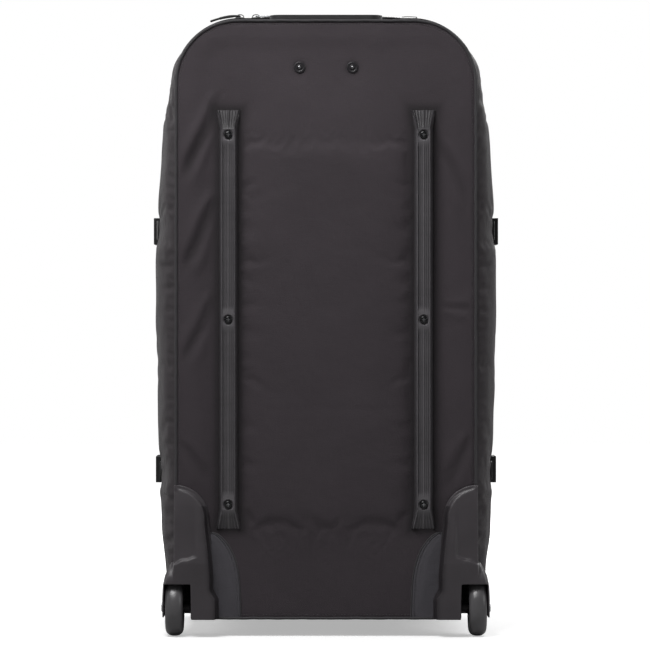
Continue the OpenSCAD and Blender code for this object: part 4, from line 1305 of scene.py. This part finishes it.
def build_main_zip():
    """Both halves of the main zip: tape, interlocking teeth and stitching."""
    n = 1400
    ring = outline(1, n)
    normal = outward(ring)
    puff = side_puff(ring[:, 0], ring[:, 1]) * 0.9
    keep = ring[:, 1] > ZIP_LO[2]
    ring, normal, puff = ring[keep], normal[keep], puff[keep]
    ring = ring + normal * (puff + 0.15)[:, None]
    out = np.column_stack([normal[:, 0], np.zeros(len(ring)), normal[:, 1]])
    for side, body, node in ((-1, "rear_shell", "zip_rear"), (1, "front_shell", "zip_front")):
        middle = ZIP_Y + side * (TAPE_W / 2 + 0.7)
        path = np.column_stack([ring[:, 0], np.full(len(ring), middle), ring[:, 1]])
        tape = rounded(TAPE_W - 0.8, 0.9, 0.3, 1)
        parts = [(*sweep(path[::3], out[::3], tape), 0)]
        edge = path + [0, side * 0.2 - side * TAPE_W / 2 + side * 0.6, 0]
        edge = edge + out * 0.55
        across = np.tile([0.0, -1.0 * side, 0.0], (len(ring), 1))
        parts.append((*coil(edge + [0, side, 0], out, across, 2.9, shift=0.25 * side), 1))
        sewn = path + [0, side * 2.6, 0] + out * 0.9
        parts.append((*stitches(sewn, out, 3.4, 2.5, 0.6), 2))
        v, f, index = join(parts)
        new_object(f"main_{node}", v, f, [ZIP_TAPE, ZIP_COIL, THREAD], body,
                   uv=strip_uv(v), face_material=index, replaces=[node])


def strip_uv(verts):
    """Cloth coordinates for narrow goods: round the outline, and across it."""
    return np.stack([verts[:, 0] + verts[:, 2], verts[:, 1]], 1)


def slider_mesh(length=14.0, width=8.6):
    """A moulded zip slider: a shouldered plate with rolled sides and a bridge for the pull."""
    xs = np.array([-7, -6.2, -3, 0, 3, 5.4, 7]) * length / 14
    half = np.array([3.0, 3.9, 4.1, 4.0, 4.3, 4.1, 2.6]) * width / 8.6
    top = np.array([1.0, 1.6, 1.9, 1.9, 1.9, 1.6, 1.0])
    rows = []
    for x, w, h in zip(xs, half, top):
        rows.append([(x, -w, 0), (x, -w, h * 0.7), (x, -w * 0.8, h), (x, w * 0.8, h), (x, w, h * 0.7),
                     (x, w, 0)])
    plate = np.array(rows).reshape(-1, 3)
    faces = [tuple(f) for f in grid_faces(7, 6, wrap_cols=True)]
    faces += [(5, 4, 3, 2, 1, 0), tuple(range(36, 42))]
    t = np.linspace(0, math.pi, 15)
    arch = np.stack([-4.6 * np.cos(t), 0 * t, 1.5 + 3.6 * np.sin(t) ** 0.7], 1)
    up = np.stack([-np.cos(t), 0 * t, np.sin(t) + 1e-3], 1)
    bridge = sweep(arch, up, rounded(2.4, 1.0, 0.35, 2))
    return plate, faces, bridge


def slider_piece(name, body, node, to_place, flip):
    """One zip slider on its body."""
    plate, faces, bridge = slider_mesh()
    turn = np.array([-1, 1, 1]) if flip else np.ones(3)
    parts = [(to_place(plate * turn), faces, 0), (to_place(bridge[0] * turn), bridge[1], 0)]
    v, f, index = join(parts)
    obj = new_object(name, v, f, [BLACK_STEEL], body, replaces=[node])
    tidy_normals(obj)
    bevel(obj, 0.3, 2, 40)
    return obj


def cord_pull(droop, length=41.0, thick=1.25):
    """A cord pull from the crossbar at the origin: a loop of cord into a moulded end."""
    t = np.linspace(0, 1, 26)
    cords = []
    for s in (-1, 1):
        x = -t * (length - 13)
        y = s * (2.7 - 1.5 * smooth(0.55, 1, t))
        path = np.stack([x, y, -droop * (x / length) ** 2 + 0.8 * smooth(0, 6, -x)], 1)
        radius = 1.25 + (thick - 1.25) * smooth(5, 13, -x)
        section = np.stack([circle(r, 8) for r in radius])
        cords.append(sweep(path, UP, section))
    bar_path = np.stack([np.zeros(9), np.linspace(-2.7, 2.7, 9), np.zeros(9)], 1)
    cords.append(sweep(bar_path, UP, circle(0.95, 8)))
    x = np.linspace(-(length - 14.5), -length, 16)
    end = np.stack([x, 0 * x, -droop * (x / length) ** 2 + 0.8], 1)
    w = 2.4 + 1.1 * np.sin(np.linspace(0, math.pi, 16)) ** 0.8
    section = np.stack([circle(1, 12) * [k, 1.5] for k in w])
    section[0] *= 0.75
    section[-1] *= 0.6
    tip = sweep(end, UP, section)
    return cords, tip


def loop_pull(droop, length=36.0):
    """A metal pull from the crossbar at the origin: an open wire frame with a flat end."""
    t = np.linspace(0, 1, 41)
    x = -length * (0.5 - 0.5 * np.cos(2 * math.pi * t))
    y = 3.4 * np.sin(2 * math.pi * t) * (0.75 + 0.3 * (-x / length))
    path = np.stack([x, y, -droop * (x / length) ** 2 + 0.1], 1)
    wire = sweep(path[:-1], UP, circle(0.85, 8), closed=True)
    x = np.linspace(-length * 0.62, -length + 1, 10)
    grip_path = np.stack([x, 0 * x, -droop * (x / length) ** 2], 1)
    grip = sweep(grip_path, UP, rounded(5.6, 1.3, 0.5, 3) - [0, 0.65])
    return [wire], grip


def pull_piece(name, body, node, kind, to_place, flip, droop, materials):
    """One zip pull of the given kind on its body."""
    cords, tip = kind(droop)
    turn = np.array([-1, 1, 1]) if flip else np.ones(3)
    parts = [(to_place(v * turn), f, 0) for v, f in cords]
    parts.append((to_place(tip[0] * turn), tip[1], 1))
    v, f, index = join(parts)
    obj = new_object(name, v, f, materials, body, uv=strip_uv(v), face_material=index,
                     replaces=[node])
    tidy_normals(obj)
    shade_by_angle(obj, 45)
    return obj


def build_sliders():
    """The two main sliders and the pocket slider, each with its pull."""
    top = CREST_TOP + 0.9
    a_x = JOINTS["zip_slider_a_run"]["pos_m"][0] / MM
    b_x = JOINTS["zip_pull_b_lift"]["pos_m"][0] / MM
    pull_z = JOINTS["zip_pull_a_lift"]["pos_m"][2] / MM
    at_top = lambda x, z: (lambda v: np.asarray(v) + [x, ZIP_Y, z])
    slider_piece("slider_a_body", "slider_a", "zip_slider_a", at_top(a_x, top), False)
    slider_piece("slider_b_body", "slider_b", "zip_slider_b", at_top(b_x, top), True)
    cord = pull_piece("slider_a_cord_pull", "pull_a", "zip_pull_a",
                      lambda droop: cord_pull(droop, thick=1.7), at_top(a_x, pull_z), False,
                      7.8, [WEBBING, RUBBER])
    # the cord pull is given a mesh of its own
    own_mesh(cord)
    pull_piece("slider_b_loop_pull", "pull_b", "zip_pull_b", loop_pull, at_top(b_x, pull_z), True,
               1.0, [LOOP_METAL, LOOP_METAL])
    lo, _ = box_mm("pocket_slider")
    joint = [c / MM for c in JOINTS["pocket_pull_lift"]["pos_m"]]

    def on_front(y):
        return lambda v: np.stack([v[:, 0] + joint[0], v[:, 2] + y, -v[:, 1] + joint[2]], 1)

    slider_piece("pocket_slider_body", "slider_pocket", "pocket_slider", on_front(lo[1]), True)
    pull_piece("pocket_cord_pull", "pull_pocket", "pocket_pull", cord_pull, on_front(joint[1]),
               True, 0.6, [WEBBING, RUBBER])


# ---------------------------------------------------------------- straps, handle and tab

def strap_along(name, ys, levels, body, node, side):
    """Webbing round the gusset at each buckle height, sewn down at its far end."""
    parts = []
    seam_y = BACK_Y if side < 0 else FRONT_Y
    for z in levels:
        for sign in (-1, 1):
            y = np.linspace(ys[0], ys[1], 44)
            t = np.abs(y - seam_y) / abs(ZIP_Y - seam_y)
            x = mix(SEAM_HALF, crest_x(z), swell(t)) + 0.55
            path = np.stack([sign * x, y, np.full(44, z)], 1)
            up = np.tile([float(sign), 0.0, 0.0], (44, 1))
            high = [lay_on(body, path + [0, 0, dz], up, 0.0)[:, 0] * sign for dz in (-9, 0, 9)]
            x = np.max(high, axis=0) + 0.1
            path[:, 0] = sign * x
            parts.append((*sweep(path, up, rounded(25, 1.5, 0.5, 2)), 0))
            far = 0 if side < 0 else -1
            inward = 1 if side < 0 else -1
            corners_y = [y[far] + inward * 3, y[far] + inward * 19]
            xs = [float(np.interp(corner, y, x)) + 1.6 for corner in corners_y]
            box = [(xs[0], corners_y[0], z - 10), (xs[1], corners_y[1], z - 10),
                   (xs[1], corners_y[1], z + 10), (xs[0], corners_y[0], z + 10)]
            for a, b in ((0, 1), (1, 2), (2, 3), (3, 0), (0, 2), (1, 3)):
                line = np.linspace(box[a], box[b], 12) * [sign, 1, 1]
                parts.append((*stitches(line, np.tile([float(sign), 0, 0], (12, 1)), 2.6, 2.0, 0.6), 1))
    v, f, index = join(parts)
    new_object(name, v, f, [WEBBING, THREAD], body, uv=np.stack([v[:, 1], v[:, 2]], 1),
               face_material=index, replaces=[node])


def build_straps():
    """The strap webbing of both shells."""
    rear_lo, rear_hi = box_mm("rear_straps")
    front_end = box_mm("front_straps")[1][1]
    strap_along("rear_strap_webbing", (rear_lo[1], rear_hi[1]), BUCKLE_Z, "rear_shell",
                "rear_straps", -1)
    strap_along("front_strap_webbing", (front_end - 114, front_end), BUCKLE_Z, "front_shell",
                "front_straps", 1)


def build_top_handle():
    """The carrying handle: a low arch of doubled webbing with a rolled, stitched middle."""
    lo, hi = box_mm("top_grab_handle")
    middle, half = (lo[0] + hi[0]) / 2, (hi[0] - lo[0]) / 2
    y = (lo[1] + hi[1]) / 2
    x = np.linspace(-half, half, 90)
    rise = 2.4 * (1 - (np.abs(x) / half) ** 4)
    lean = (CREST_TOP - SEAM_TOP) / (ZIP_Y - BACK_Y)
    laid = np.array([max(cloth_top(middle + px, y + dy) - lean * dy for dy in (-10, 0, 10)) for px in x])
    laid = np.convolve(np.pad(laid, 4, mode="edge"), np.ones(9) / 9, mode="valid") + 0.5
    path = np.stack([middle + x, np.full(90, y), laid + rise], 1)
    up = np.tile([0.0, -lean, 1.0], (90, 1))
    wide = 13.6 - 2.6 * smooth(half * 0.72, half * 0.5, np.abs(x))
    high = 1.4 + 0.9 * smooth(half * 0.7, half * 0.45, np.abs(x))
    section = np.stack([rounded(2 * w, h, min(0.45 * h, 1.4), 3) for w, h in zip(wide, high)])
    parts = [(*sweep(path, up, section), 0)]
    for side in (-1, 1):
        offset = side * (wide - 3.4)
        line = path + np.stack([0 * x, offset, high * 0.98 + lean * offset], 1)
        parts.append((*stitches(line, up, 3.6, 2.7, 0.7), 1))
        for inset in (4, 20):
            bar_x = middle + side * (half - inset)
            bar_z = float(np.interp(bar_x, path[:, 0], path[:, 2])) + 1.5
            bar = np.linspace([bar_x, y - 10, bar_z - 10 * lean], [bar_x, y + 10, bar_z + 10 * lean], 12)
            parts.append((*stitches(bar, UP, 2.4, 2.0, 0.7), 1))
    v, f, index = join(parts)
    new_object("top_handle_webbing", v, f, [WEBBING, THREAD], "rear_shell",
               uv=np.stack([v[:, 0], v[:, 1]], 1), face_material=index,
               replaces=["top_grab_handle"])
    lo, hi = box_mm("loop_tab")
    middle = (lo + hi) / 2
    foot = max(cloth_top(px, middle[1]) for px in np.linspace(lo[0], hi[0], 8)) + 0.5
    px = np.concatenate([np.linspace(lo[0], hi[0] - 1.2, 14),
                         hi[0] - 1.2 + 1.1 * np.sin(np.linspace(0.2, math.pi - 0.2, 7)),
                         np.linspace(hi[0] - 1.2, lo[0], 14)])
    pz = foot + np.concatenate([np.full(14, 0.1), 1.1 - np.cos(np.linspace(0.2, math.pi - 0.2, 7)),
                                2.0 + 0.5 * np.sin(np.linspace(0, math.pi, 14))])
    path = np.stack([px, np.full(len(px), middle[1]), pz], 1)
    tangent = np.gradient(path, axis=0)
    up = np.stack([-tangent[:, 2], -lean * tangent[:, 0], tangent[:, 0]], 1)
    up /= np.linalg.norm(up, axis=1)[:, None]
    parts = [(*sweep(path, up, rounded(14, 0.9, 0.3, 2) - [0, 0.45]), 0)]
    bar = np.linspace([lo[0] + 4, lo[1] + 2, foot + 2.3], [lo[0] + 4, hi[1] - 2, foot + 3.3], 10)
    parts.append((*stitches(bar, UP, 2.2, 1.9, 0.6), 1))
    v, f, index = join(parts)
    new_object("loop_tab_webbing", v, f, [WEBBING, THREAD], "rear_shell",
               uv=np.stack([v[:, 0], v[:, 1]], 1), face_material=index, replaces=["loop_tab"])


# ---------------------------------------------------------------- front shell

def build_front_panel():
    """The front panel, crowned at the rim and flat under the pocket."""
    rows, cols = 150, 80
    verts = panel_grid(FRONT_Y, FRONT_LOW_R, rows, cols)
    x, z = verts[:, 0], verts[:, 2]
    edge = np.minimum(half_width(0, z, FRONT_LOW_R) - np.abs(x), np.minimum(SEAM_TOP - z, z - BASE_Z))
    out = 6.5 * smooth(0, 85, edge)
    verts[:, 1] += out
    obj = new_object("front_panel_cloth", verts, grid_faces(rows, cols, flip=True),
                     [FABRIC, LINING], None, uv=np.stack([x, z], 1))
    lo, hi = box_mm("front_pocket")
    zip_top = box_mm("pocket_zip")[1][2]
    inside = np.maximum.reduce([np.abs(x) - hi[0], lo[2] - z, z - zip_top])
    settle(obj, np.clip(np.maximum(1 - smooth(1, 12, edge), 1 - smooth(-2, 8, inside)), 0, 1),
           slack=0.03, pressure=1.0, cap_out=3.0, cap_in=3.0)
    mesh = obj.data
    co = read_points(mesh) / MM
    free = smooth(0, 18, edge) * smooth(-6, 14, inside)
    co[:, 1] += free * (1.3 * noise_at(verts * [1, 1, 0.7], 70, 21.0) + 0.4 * noise_at(verts, 26, 23.0))
    flat = 1 - smooth(-14, 14, inside)
    co[:, 1] = mix(co[:, 1], FRONT_Y + 0.6, flat)
    write_points(mesh, co)
    fabric_finish(obj)
    finish_piece(obj, "front_shell", ["front_panel"])


def build_pocket():
    """The padded front pocket: a crowned pouch with rounded corners and a bound top edge."""
    lo, hi = box_mm("front_pocket")
    half_x, depth = hi[0], hi[1] - FRONT_Y
    mid_z, half_z, radius = (lo[2] + hi[2]) / 2, (hi[2] - lo[2]) / 2, 30.0
    rows, cols = 130, 96
    lean = lambda n: (lambda q: np.sign(q) * (1 - (1 - np.abs(q)) ** 1.7))(np.linspace(-1, 1, n))
    dz = lean(rows) * half_z
    past = np.clip(np.abs(dz) - (half_z - radius), 0, radius)
    w = half_x - radius + np.sqrt(np.clip(radius ** 2 - past ** 2, 0.5, None))
    x = w[:, None] * lean(cols)[None]
    zz = np.repeat(dz[:, None], cols, 1)
    qx, qz = np.abs(x) - (half_x - radius), np.abs(zz) - (half_z - radius)
    inward = radius - np.hypot(np.clip(qx, 0, None), np.clip(qz, 0, None)) - np.minimum(
        np.maximum(qx, qz), 0)
    inward = np.clip(inward, 0, None)
    rise = depth * (1 - (1 - np.clip(inward / 15, 0, 1)) ** 3.2) + 4.0 * smooth(10, 110, inward)
    verts = np.stack([x, FRONT_Y + 0.3 + rise, mid_z + zz], -1).reshape(-1, 3)
    faces = grid_faces(rows, cols, flip=True)
    obj = new_object("front_pocket_cloth", verts, faces, [FABRIC, LINING], None,
                     uv=np.stack([verts[:, 0], verts[:, 2]], 1))
    edge = np.minimum(half_x - np.abs(verts[:, 0]), half_z - np.abs(verts[:, 2] - mid_z))
    held = 1 - smooth(1, 16, edge)
    settle(obj, np.clip(held, 0, 1), slack=0.035, pressure=1.6, cap_out=4.5, cap_in=3.5)
    mesh = obj.data
    co = read_points(mesh) / MM
    co[:, 1] += smooth(4, 30, edge) * (1.2 * noise_at(verts * [1, 1, 0.8], 60, 31.0)
                                       + 0.4 * noise_at(verts, 24, 33.0))
    co[:, 1] += 0.4 * noise_at(verts, 9, 35.0) * (1 - smooth(2, 18, edge))
    write_points(mesh, co)
    fabric_finish(obj, 1.0)
    finish_piece(obj, "front_shell", ["front_pocket"])
    seam = rounded_ring(half_x - 1.0, half_z - 1.0, radius - 1, 300)
    path = np.stack([seam[:, 0], np.full(300, FRONT_Y + 0.9), mid_z + seam[:, 1]], 1)
    v, f = sweep(path, (0.0, 1.0, 0.0), circle(1.3, 8), closed=True)
    new_object("front_pocket_seam", v, f, [PIPING], "front_shell")


def rounded_ring(half_x, half_z, radius, n):
    """Points round a rounded rectangle in x and z."""
    points = []
    for k, (sx, sz) in enumerate(((1, 1), (-1, 1), (-1, -1), (1, -1))):
        for a in np.linspace(0, math.pi / 2, 24) + k * math.pi / 2:
            points.append((sx * (half_x - radius) + radius * math.cos(a),
                           sz * (half_z - radius) + radius * math.sin(a)))
    return resample(np.array(points), n)


def build_pocket_zip():
    """The pocket zip: tapes, teeth, stitching and a fabric lip over them."""
    lo, hi = box_mm("pocket_zip")
    z = (lo[2] + hi[2]) / 2
    x = np.linspace(lo[0], hi[0], 200)
    base = FRONT_Y + 0.9
    lift = np.tile([0.0, 1.0, 0.0], (200, 1))
    parts = []
    for side in (-1, 1):
        path = np.stack([x, np.full(200, base), np.full(200, z + side * 4.9)], 1)
        parts.append((*sweep(path[::4], lift[::4], rounded(7.8, 0.9, 0.3, 1)), 0))
        across = np.tile([0.0, 0.0, -1.0 * side], (200, 1))
        edge = np.stack([x, np.full(200, base + 0.4), np.full(200, z + side * 1.1)], 1)
        parts.append((*coil(edge, lift, across, 1.4, 2.1, 0.25 * side), 1))
        sewn = np.stack([x, np.full(200, base + 1.0), np.full(200, z + side * 7.0)], 1)
        parts.append((*stitches(sewn, lift, 3.4, 2.5, 0.6), 2))
    # a fabric lip over the zip's upper edge
    lip = np.stack([x, np.full(200, base + 0.9), np.full(200, hi[2] - 0.5)], 1)
    parts.append((*sweep(lip[::4], lift[::4], rounded(6.0, 1.6, 0.7, 3)), 3))
    v, f, index = join(parts)
    new_object("pocket_zip_tape", v, f, [ZIP_TAPE, ZIP_COIL, THREAD, PIPING], "front_shell",
               uv=np.stack([v[:, 0], v[:, 2]], 1), face_material=index, replaces=["pocket_zip"])


# ---------------------------------------------------------------- base, hinge and lining

def build_hinge():
    """Doubled fabric along the base, where the front shell swings open."""
    lo, hi = box_mm("hinge_fabric")
    rows, cols = 40, 60
    y = np.linspace(ZIP_Y - 22, ZIP_Y + 22, rows)
    x = np.linspace(lo[0], hi[0], cols)
    yy, xx = np.meshgrid(y, x, indexing="ij")
    zz = np.full_like(yy, BASE_Z - 0.9) + 0.25 * np.sin(xx / 9.0) * bump(yy, ZIP_Y, 12)
    verts = np.stack([xx, yy, zz], -1).reshape(-1, 3)
    obj = new_object("base_hinge_cloth", verts, grid_faces(rows, cols), [SIDE_FABRIC, LINING], None,
                     uv=verts[:, :2])
    thick = obj.modifiers.new("thickness", "SOLIDIFY")
    thick.thickness = 0.8 * MM
    thick.offset = 1
    apply_modifiers(obj)
    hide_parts("hinge_fabric")
    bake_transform(obj)


def build_lining():
    """Lining inside the rear shell, draped over the handle tubes and frame board."""
    rows, cols = 110, 80
    ring_inset = 9.0
    z = np.linspace(BASE_Z + 9, SEAM_TOP - 8, rows)
    w = half_width(0, np.clip(z, BASE_Z, SEAM_TOP), 20, 0) - ring_inset
    u = np.linspace(-1, 1, cols)
    x = w[:, None] * u[None]
    zz = np.repeat(z[:, None], cols, 1)
    tube_x = (box_mm("handle_outer_tubes")[1][0] - 10)
    drape = 0 * x
    for s in (-1, 1):
        beside = np.clip(np.abs(x - s * tube_x) - 11, 0, None)
        drape = np.maximum(drape, 24.5 * np.exp(-beside ** 2 / 500))
    drape = np.maximum(drape, 24.5 * (np.abs(x) < tube_x + 11))
    wells = 66 * smooth(160, 172, np.abs(x)) * smooth(150, 128, zz)
    y = BACK_Y + 8 + np.maximum(drape, wells)
    y = y + smooth(0, 30, w[:, None] - np.abs(x)) * 0.9
    verts = np.stack([x, y, zz], -1).reshape(-1, 3)
    verts[:, 1] += 0.9 * noise_at(verts, 50, 41.0)
    obj = new_object("rear_lining_cloth", verts, grid_faces(rows, cols, flip=True),
                     [LINING, LINING], None, uv=verts[:, ::2])
    fabric_finish(obj, 0.8, 0)
    finish_piece(obj, "rear_shell", [])


# ---------------------------------------------------------------- carried-over CAD parts

def dress(node, material, width, segments):
    """Gives a CAD node its finish, with softly broken edges."""
    obj = frame["nodes"][node]
    if obj.material_slots:
        for held in obj.material_slots:
            held.material = material
    else:
        obj.data.materials.append(material)
    weld = obj.modifiers.new("weld", "WELD")
    weld.merge_threshold = 0.004 * MM
    edge = obj.modifiers.new("edges", "BEVEL")
    edge.width = width * MM
    edge.segments = segments
    edge.limit_method = "ANGLE"
    edge.angle_limit = math.radians(38)
    edge.use_clamp_overlap = True
    edge.harden_normals = False
    normals = obj.modifiers.new("normals", "WEIGHTED_NORMAL")
    normals.keep_sharp = False


def dress_cad_parts():
    """Hidden hardware keeps its CAD shape; each entry is material, edge radius, segments, nodes."""
    for material, width, segments, nodes in (
            (BLACK_PLASTIC, 0.5, 2, "hub_left hub_right"),
            (STEEL, 0.25, 2, "bearings_left bearings_right"),
            (STEEL, 0.4, 2, "axle_left axle_right"),
            (STEEL, 0.3, 2, "lock_pin_left lock_pin_right axle_nuts rail_nuts foot_screws"),
            (BUCKLE, 0.9, 3, "buckle_plug_upper_left buckle_plug_lower_left buckle_sockets"),
            (BUCKLE, 0.9, 3, "buckle_plug_upper_right buckle_plug_lower_right"),
            (BLACK_PLASTIC, 1.2, 3, "front_feet"),
            (SHEET, 0.4, 2, "frame_board base_board"),
            (BLACK_PLASTIC, 0.6, 2, "handle_brace handle_foot"),
            (BLACK_PLASTIC, 0.9, 3, "handle_bezel"),
            (TUBE, 0.2, 2, "handle_outer_tubes handle_inner_tubes"),
            (TUBE, 0.3, 2, "handle_middle_tubes"),
            (STEEL, 0.2, 2, "push_rods"),
            (RUBBER, 1.6, 4, "handle_grip"),
            (BLACK_PLASTIC, 0.8, 3, "grip_button")):
        for node in nodes.split():
            dress(node, material, width, segments)


# ---------------------------------------------------------------- stage

def build_stage():
    """Pale floor, white surroundings, soft overhead light and a long lens square to the back."""
    floor_paint = Paint("floor", 0.85, (0.86, 0.86, 0.86))
    where = floor_paint.coords("Object")
    grain = floor_paint.noise(where, 3.0, 3.0)
    seen = floor_paint.node("ShaderNodeLightPath").outputs["Is Camera Ray"]
    colour = floor_paint.colour(grain, (0.84, 0.84, 0.84), (0.88, 0.88, 0.88))
    colour = floor_paint.tint(colour, floor_paint.ramp(seen, 0, 1, 0.45, 1.0))
    floor_paint.put(floor_paint.shader, "Base Color", colour)
    floor_paint.put(floor_paint.shader, "Emission Color", (1, 1, 1, 1))
    away = floor_paint.node("ShaderNodeVectorMath", {0: where}, operation="LENGTH").outputs["Value"]
    glow = floor_paint.ramp(away, 0.5, 2.6, 0.42, 1.0)
    floor_paint.put(floor_paint.shader, "Emission Strength", floor_paint.math("MULTIPLY", glow, seen))
    floor = new_object("studio_floor", [(-6000, -7000, 0), (6000, -7000, 0), (6000, 7000, 0),
                                        (-6000, 7000, 0)], [(0, 1, 2, 3)], [floor_paint.material], None)
    # the open shell reaches below the wheels, so the floor drops out of its way
    sink = floor.constraints.new("TRANSFORM")
    sink.target = frame["bodies"]["front_shell"]
    sink.map_from, sink.map_to = "ROTATION", "LOCATION"
    sink.from_rotation_mode = "XYZ"
    sink.from_min_x_rot, sink.from_max_x_rot = math.radians(-165), 0.0
    sink.map_to_x_from = sink.map_to_y_from = sink.map_to_z_from = "X"
    sink.to_min_z, sink.to_max_z = -0.87, 0.0
    world = bpy.data.worlds.new("studio")
    bpy.context.scene.world = world
    world.use_nodes = True
    tree = world.node_tree
    back = tree.nodes["Background"]
    back.inputs[0].default_value = (1, 1, 1, 1)
    seen = tree.nodes.new("ShaderNodeLightPath").outputs["Is Camera Ray"]
    level = tree.nodes.new("ShaderNodeMapRange")
    level.inputs["To Min"].default_value = 0.13
    level.inputs["To Max"].default_value = 1.0
    tree.links.new(seen, level.inputs["Value"])
    tree.links.new(level.outputs[0], back.inputs[1])
    bpy.context.scene.view_settings.view_transform = "Standard"
    for name, at, aim, size, power in (
            ("key", (-0.5, -1.0, 1.9), (0, -0.15, 0.78), 1.0, 30),
            ("left_fill", (-2.6, -0.9, 1.3), (0, 0, 0.5), 1.4, 3),
            ("right_fill", (2.6, -0.9, 1.3), (0, 0, 0.5), 1.4, 10),
            ("left_side", (-2.3, 1.4, 1.6), (0, 0.1, 0.5), 1.6, 17),
            ("right_side", (2.3, 1.4, 1.6), (0, 0.1, 0.5), 1.6, 20),
            ("rear", (0.8, 2.4, 2.0), (0, 0.1, 0.5), 2.0, 60)):
        lamp = bpy.data.lights.new(name, "AREA")
        lamp.energy = power
        lamp.shape = "DISK"
        lamp.size = size
        obj = bpy.data.objects.new(name, lamp)
        bpy.context.scene.collection.objects.link(obj)
        obj.visible_camera = False
        obj.location = at
        obj.rotation_euler = (Vector(aim) - Vector(at)).to_track_quat("-Z", "Y").to_euler()
    camera_data = bpy.data.cameras.new("camera")
    camera = bpy.data.objects.new("camera", camera_data)
    bpy.context.scene.collection.objects.link(camera)
    distance, height, aside = 4.5, 0.415, -0.0013
    view_width = 0.8665
    camera.location = (aside, BACK_Y * MM - distance, height)
    camera.rotation_euler = (math.radians(90), 0, 0)
    camera_data.lens = camera_data.sensor_width * distance / view_width
    bpy.context.scene.camera = camera


# ---------------------------------------------------------------- assembly

build_gussets()
build_back_panel()
build_piping("back_seam_piping", "rear_shell", BACK_Y - 1.6, -1, BACK_LOW_R, "back_piping")
build_piping("front_seam_piping", "front_shell", FRONT_Y + 1.2, 1, FRONT_LOW_R, "front_piping")
build_patches()
build_rails()
build_fasteners()
build_housings()
build_wheels()
build_main_zip()
build_sliders()
build_straps()
build_top_handle()
build_front_panel()
build_pocket()
build_pocket_zip()
build_hinge()
build_lining()
dress_cad_parts()
build_stage()
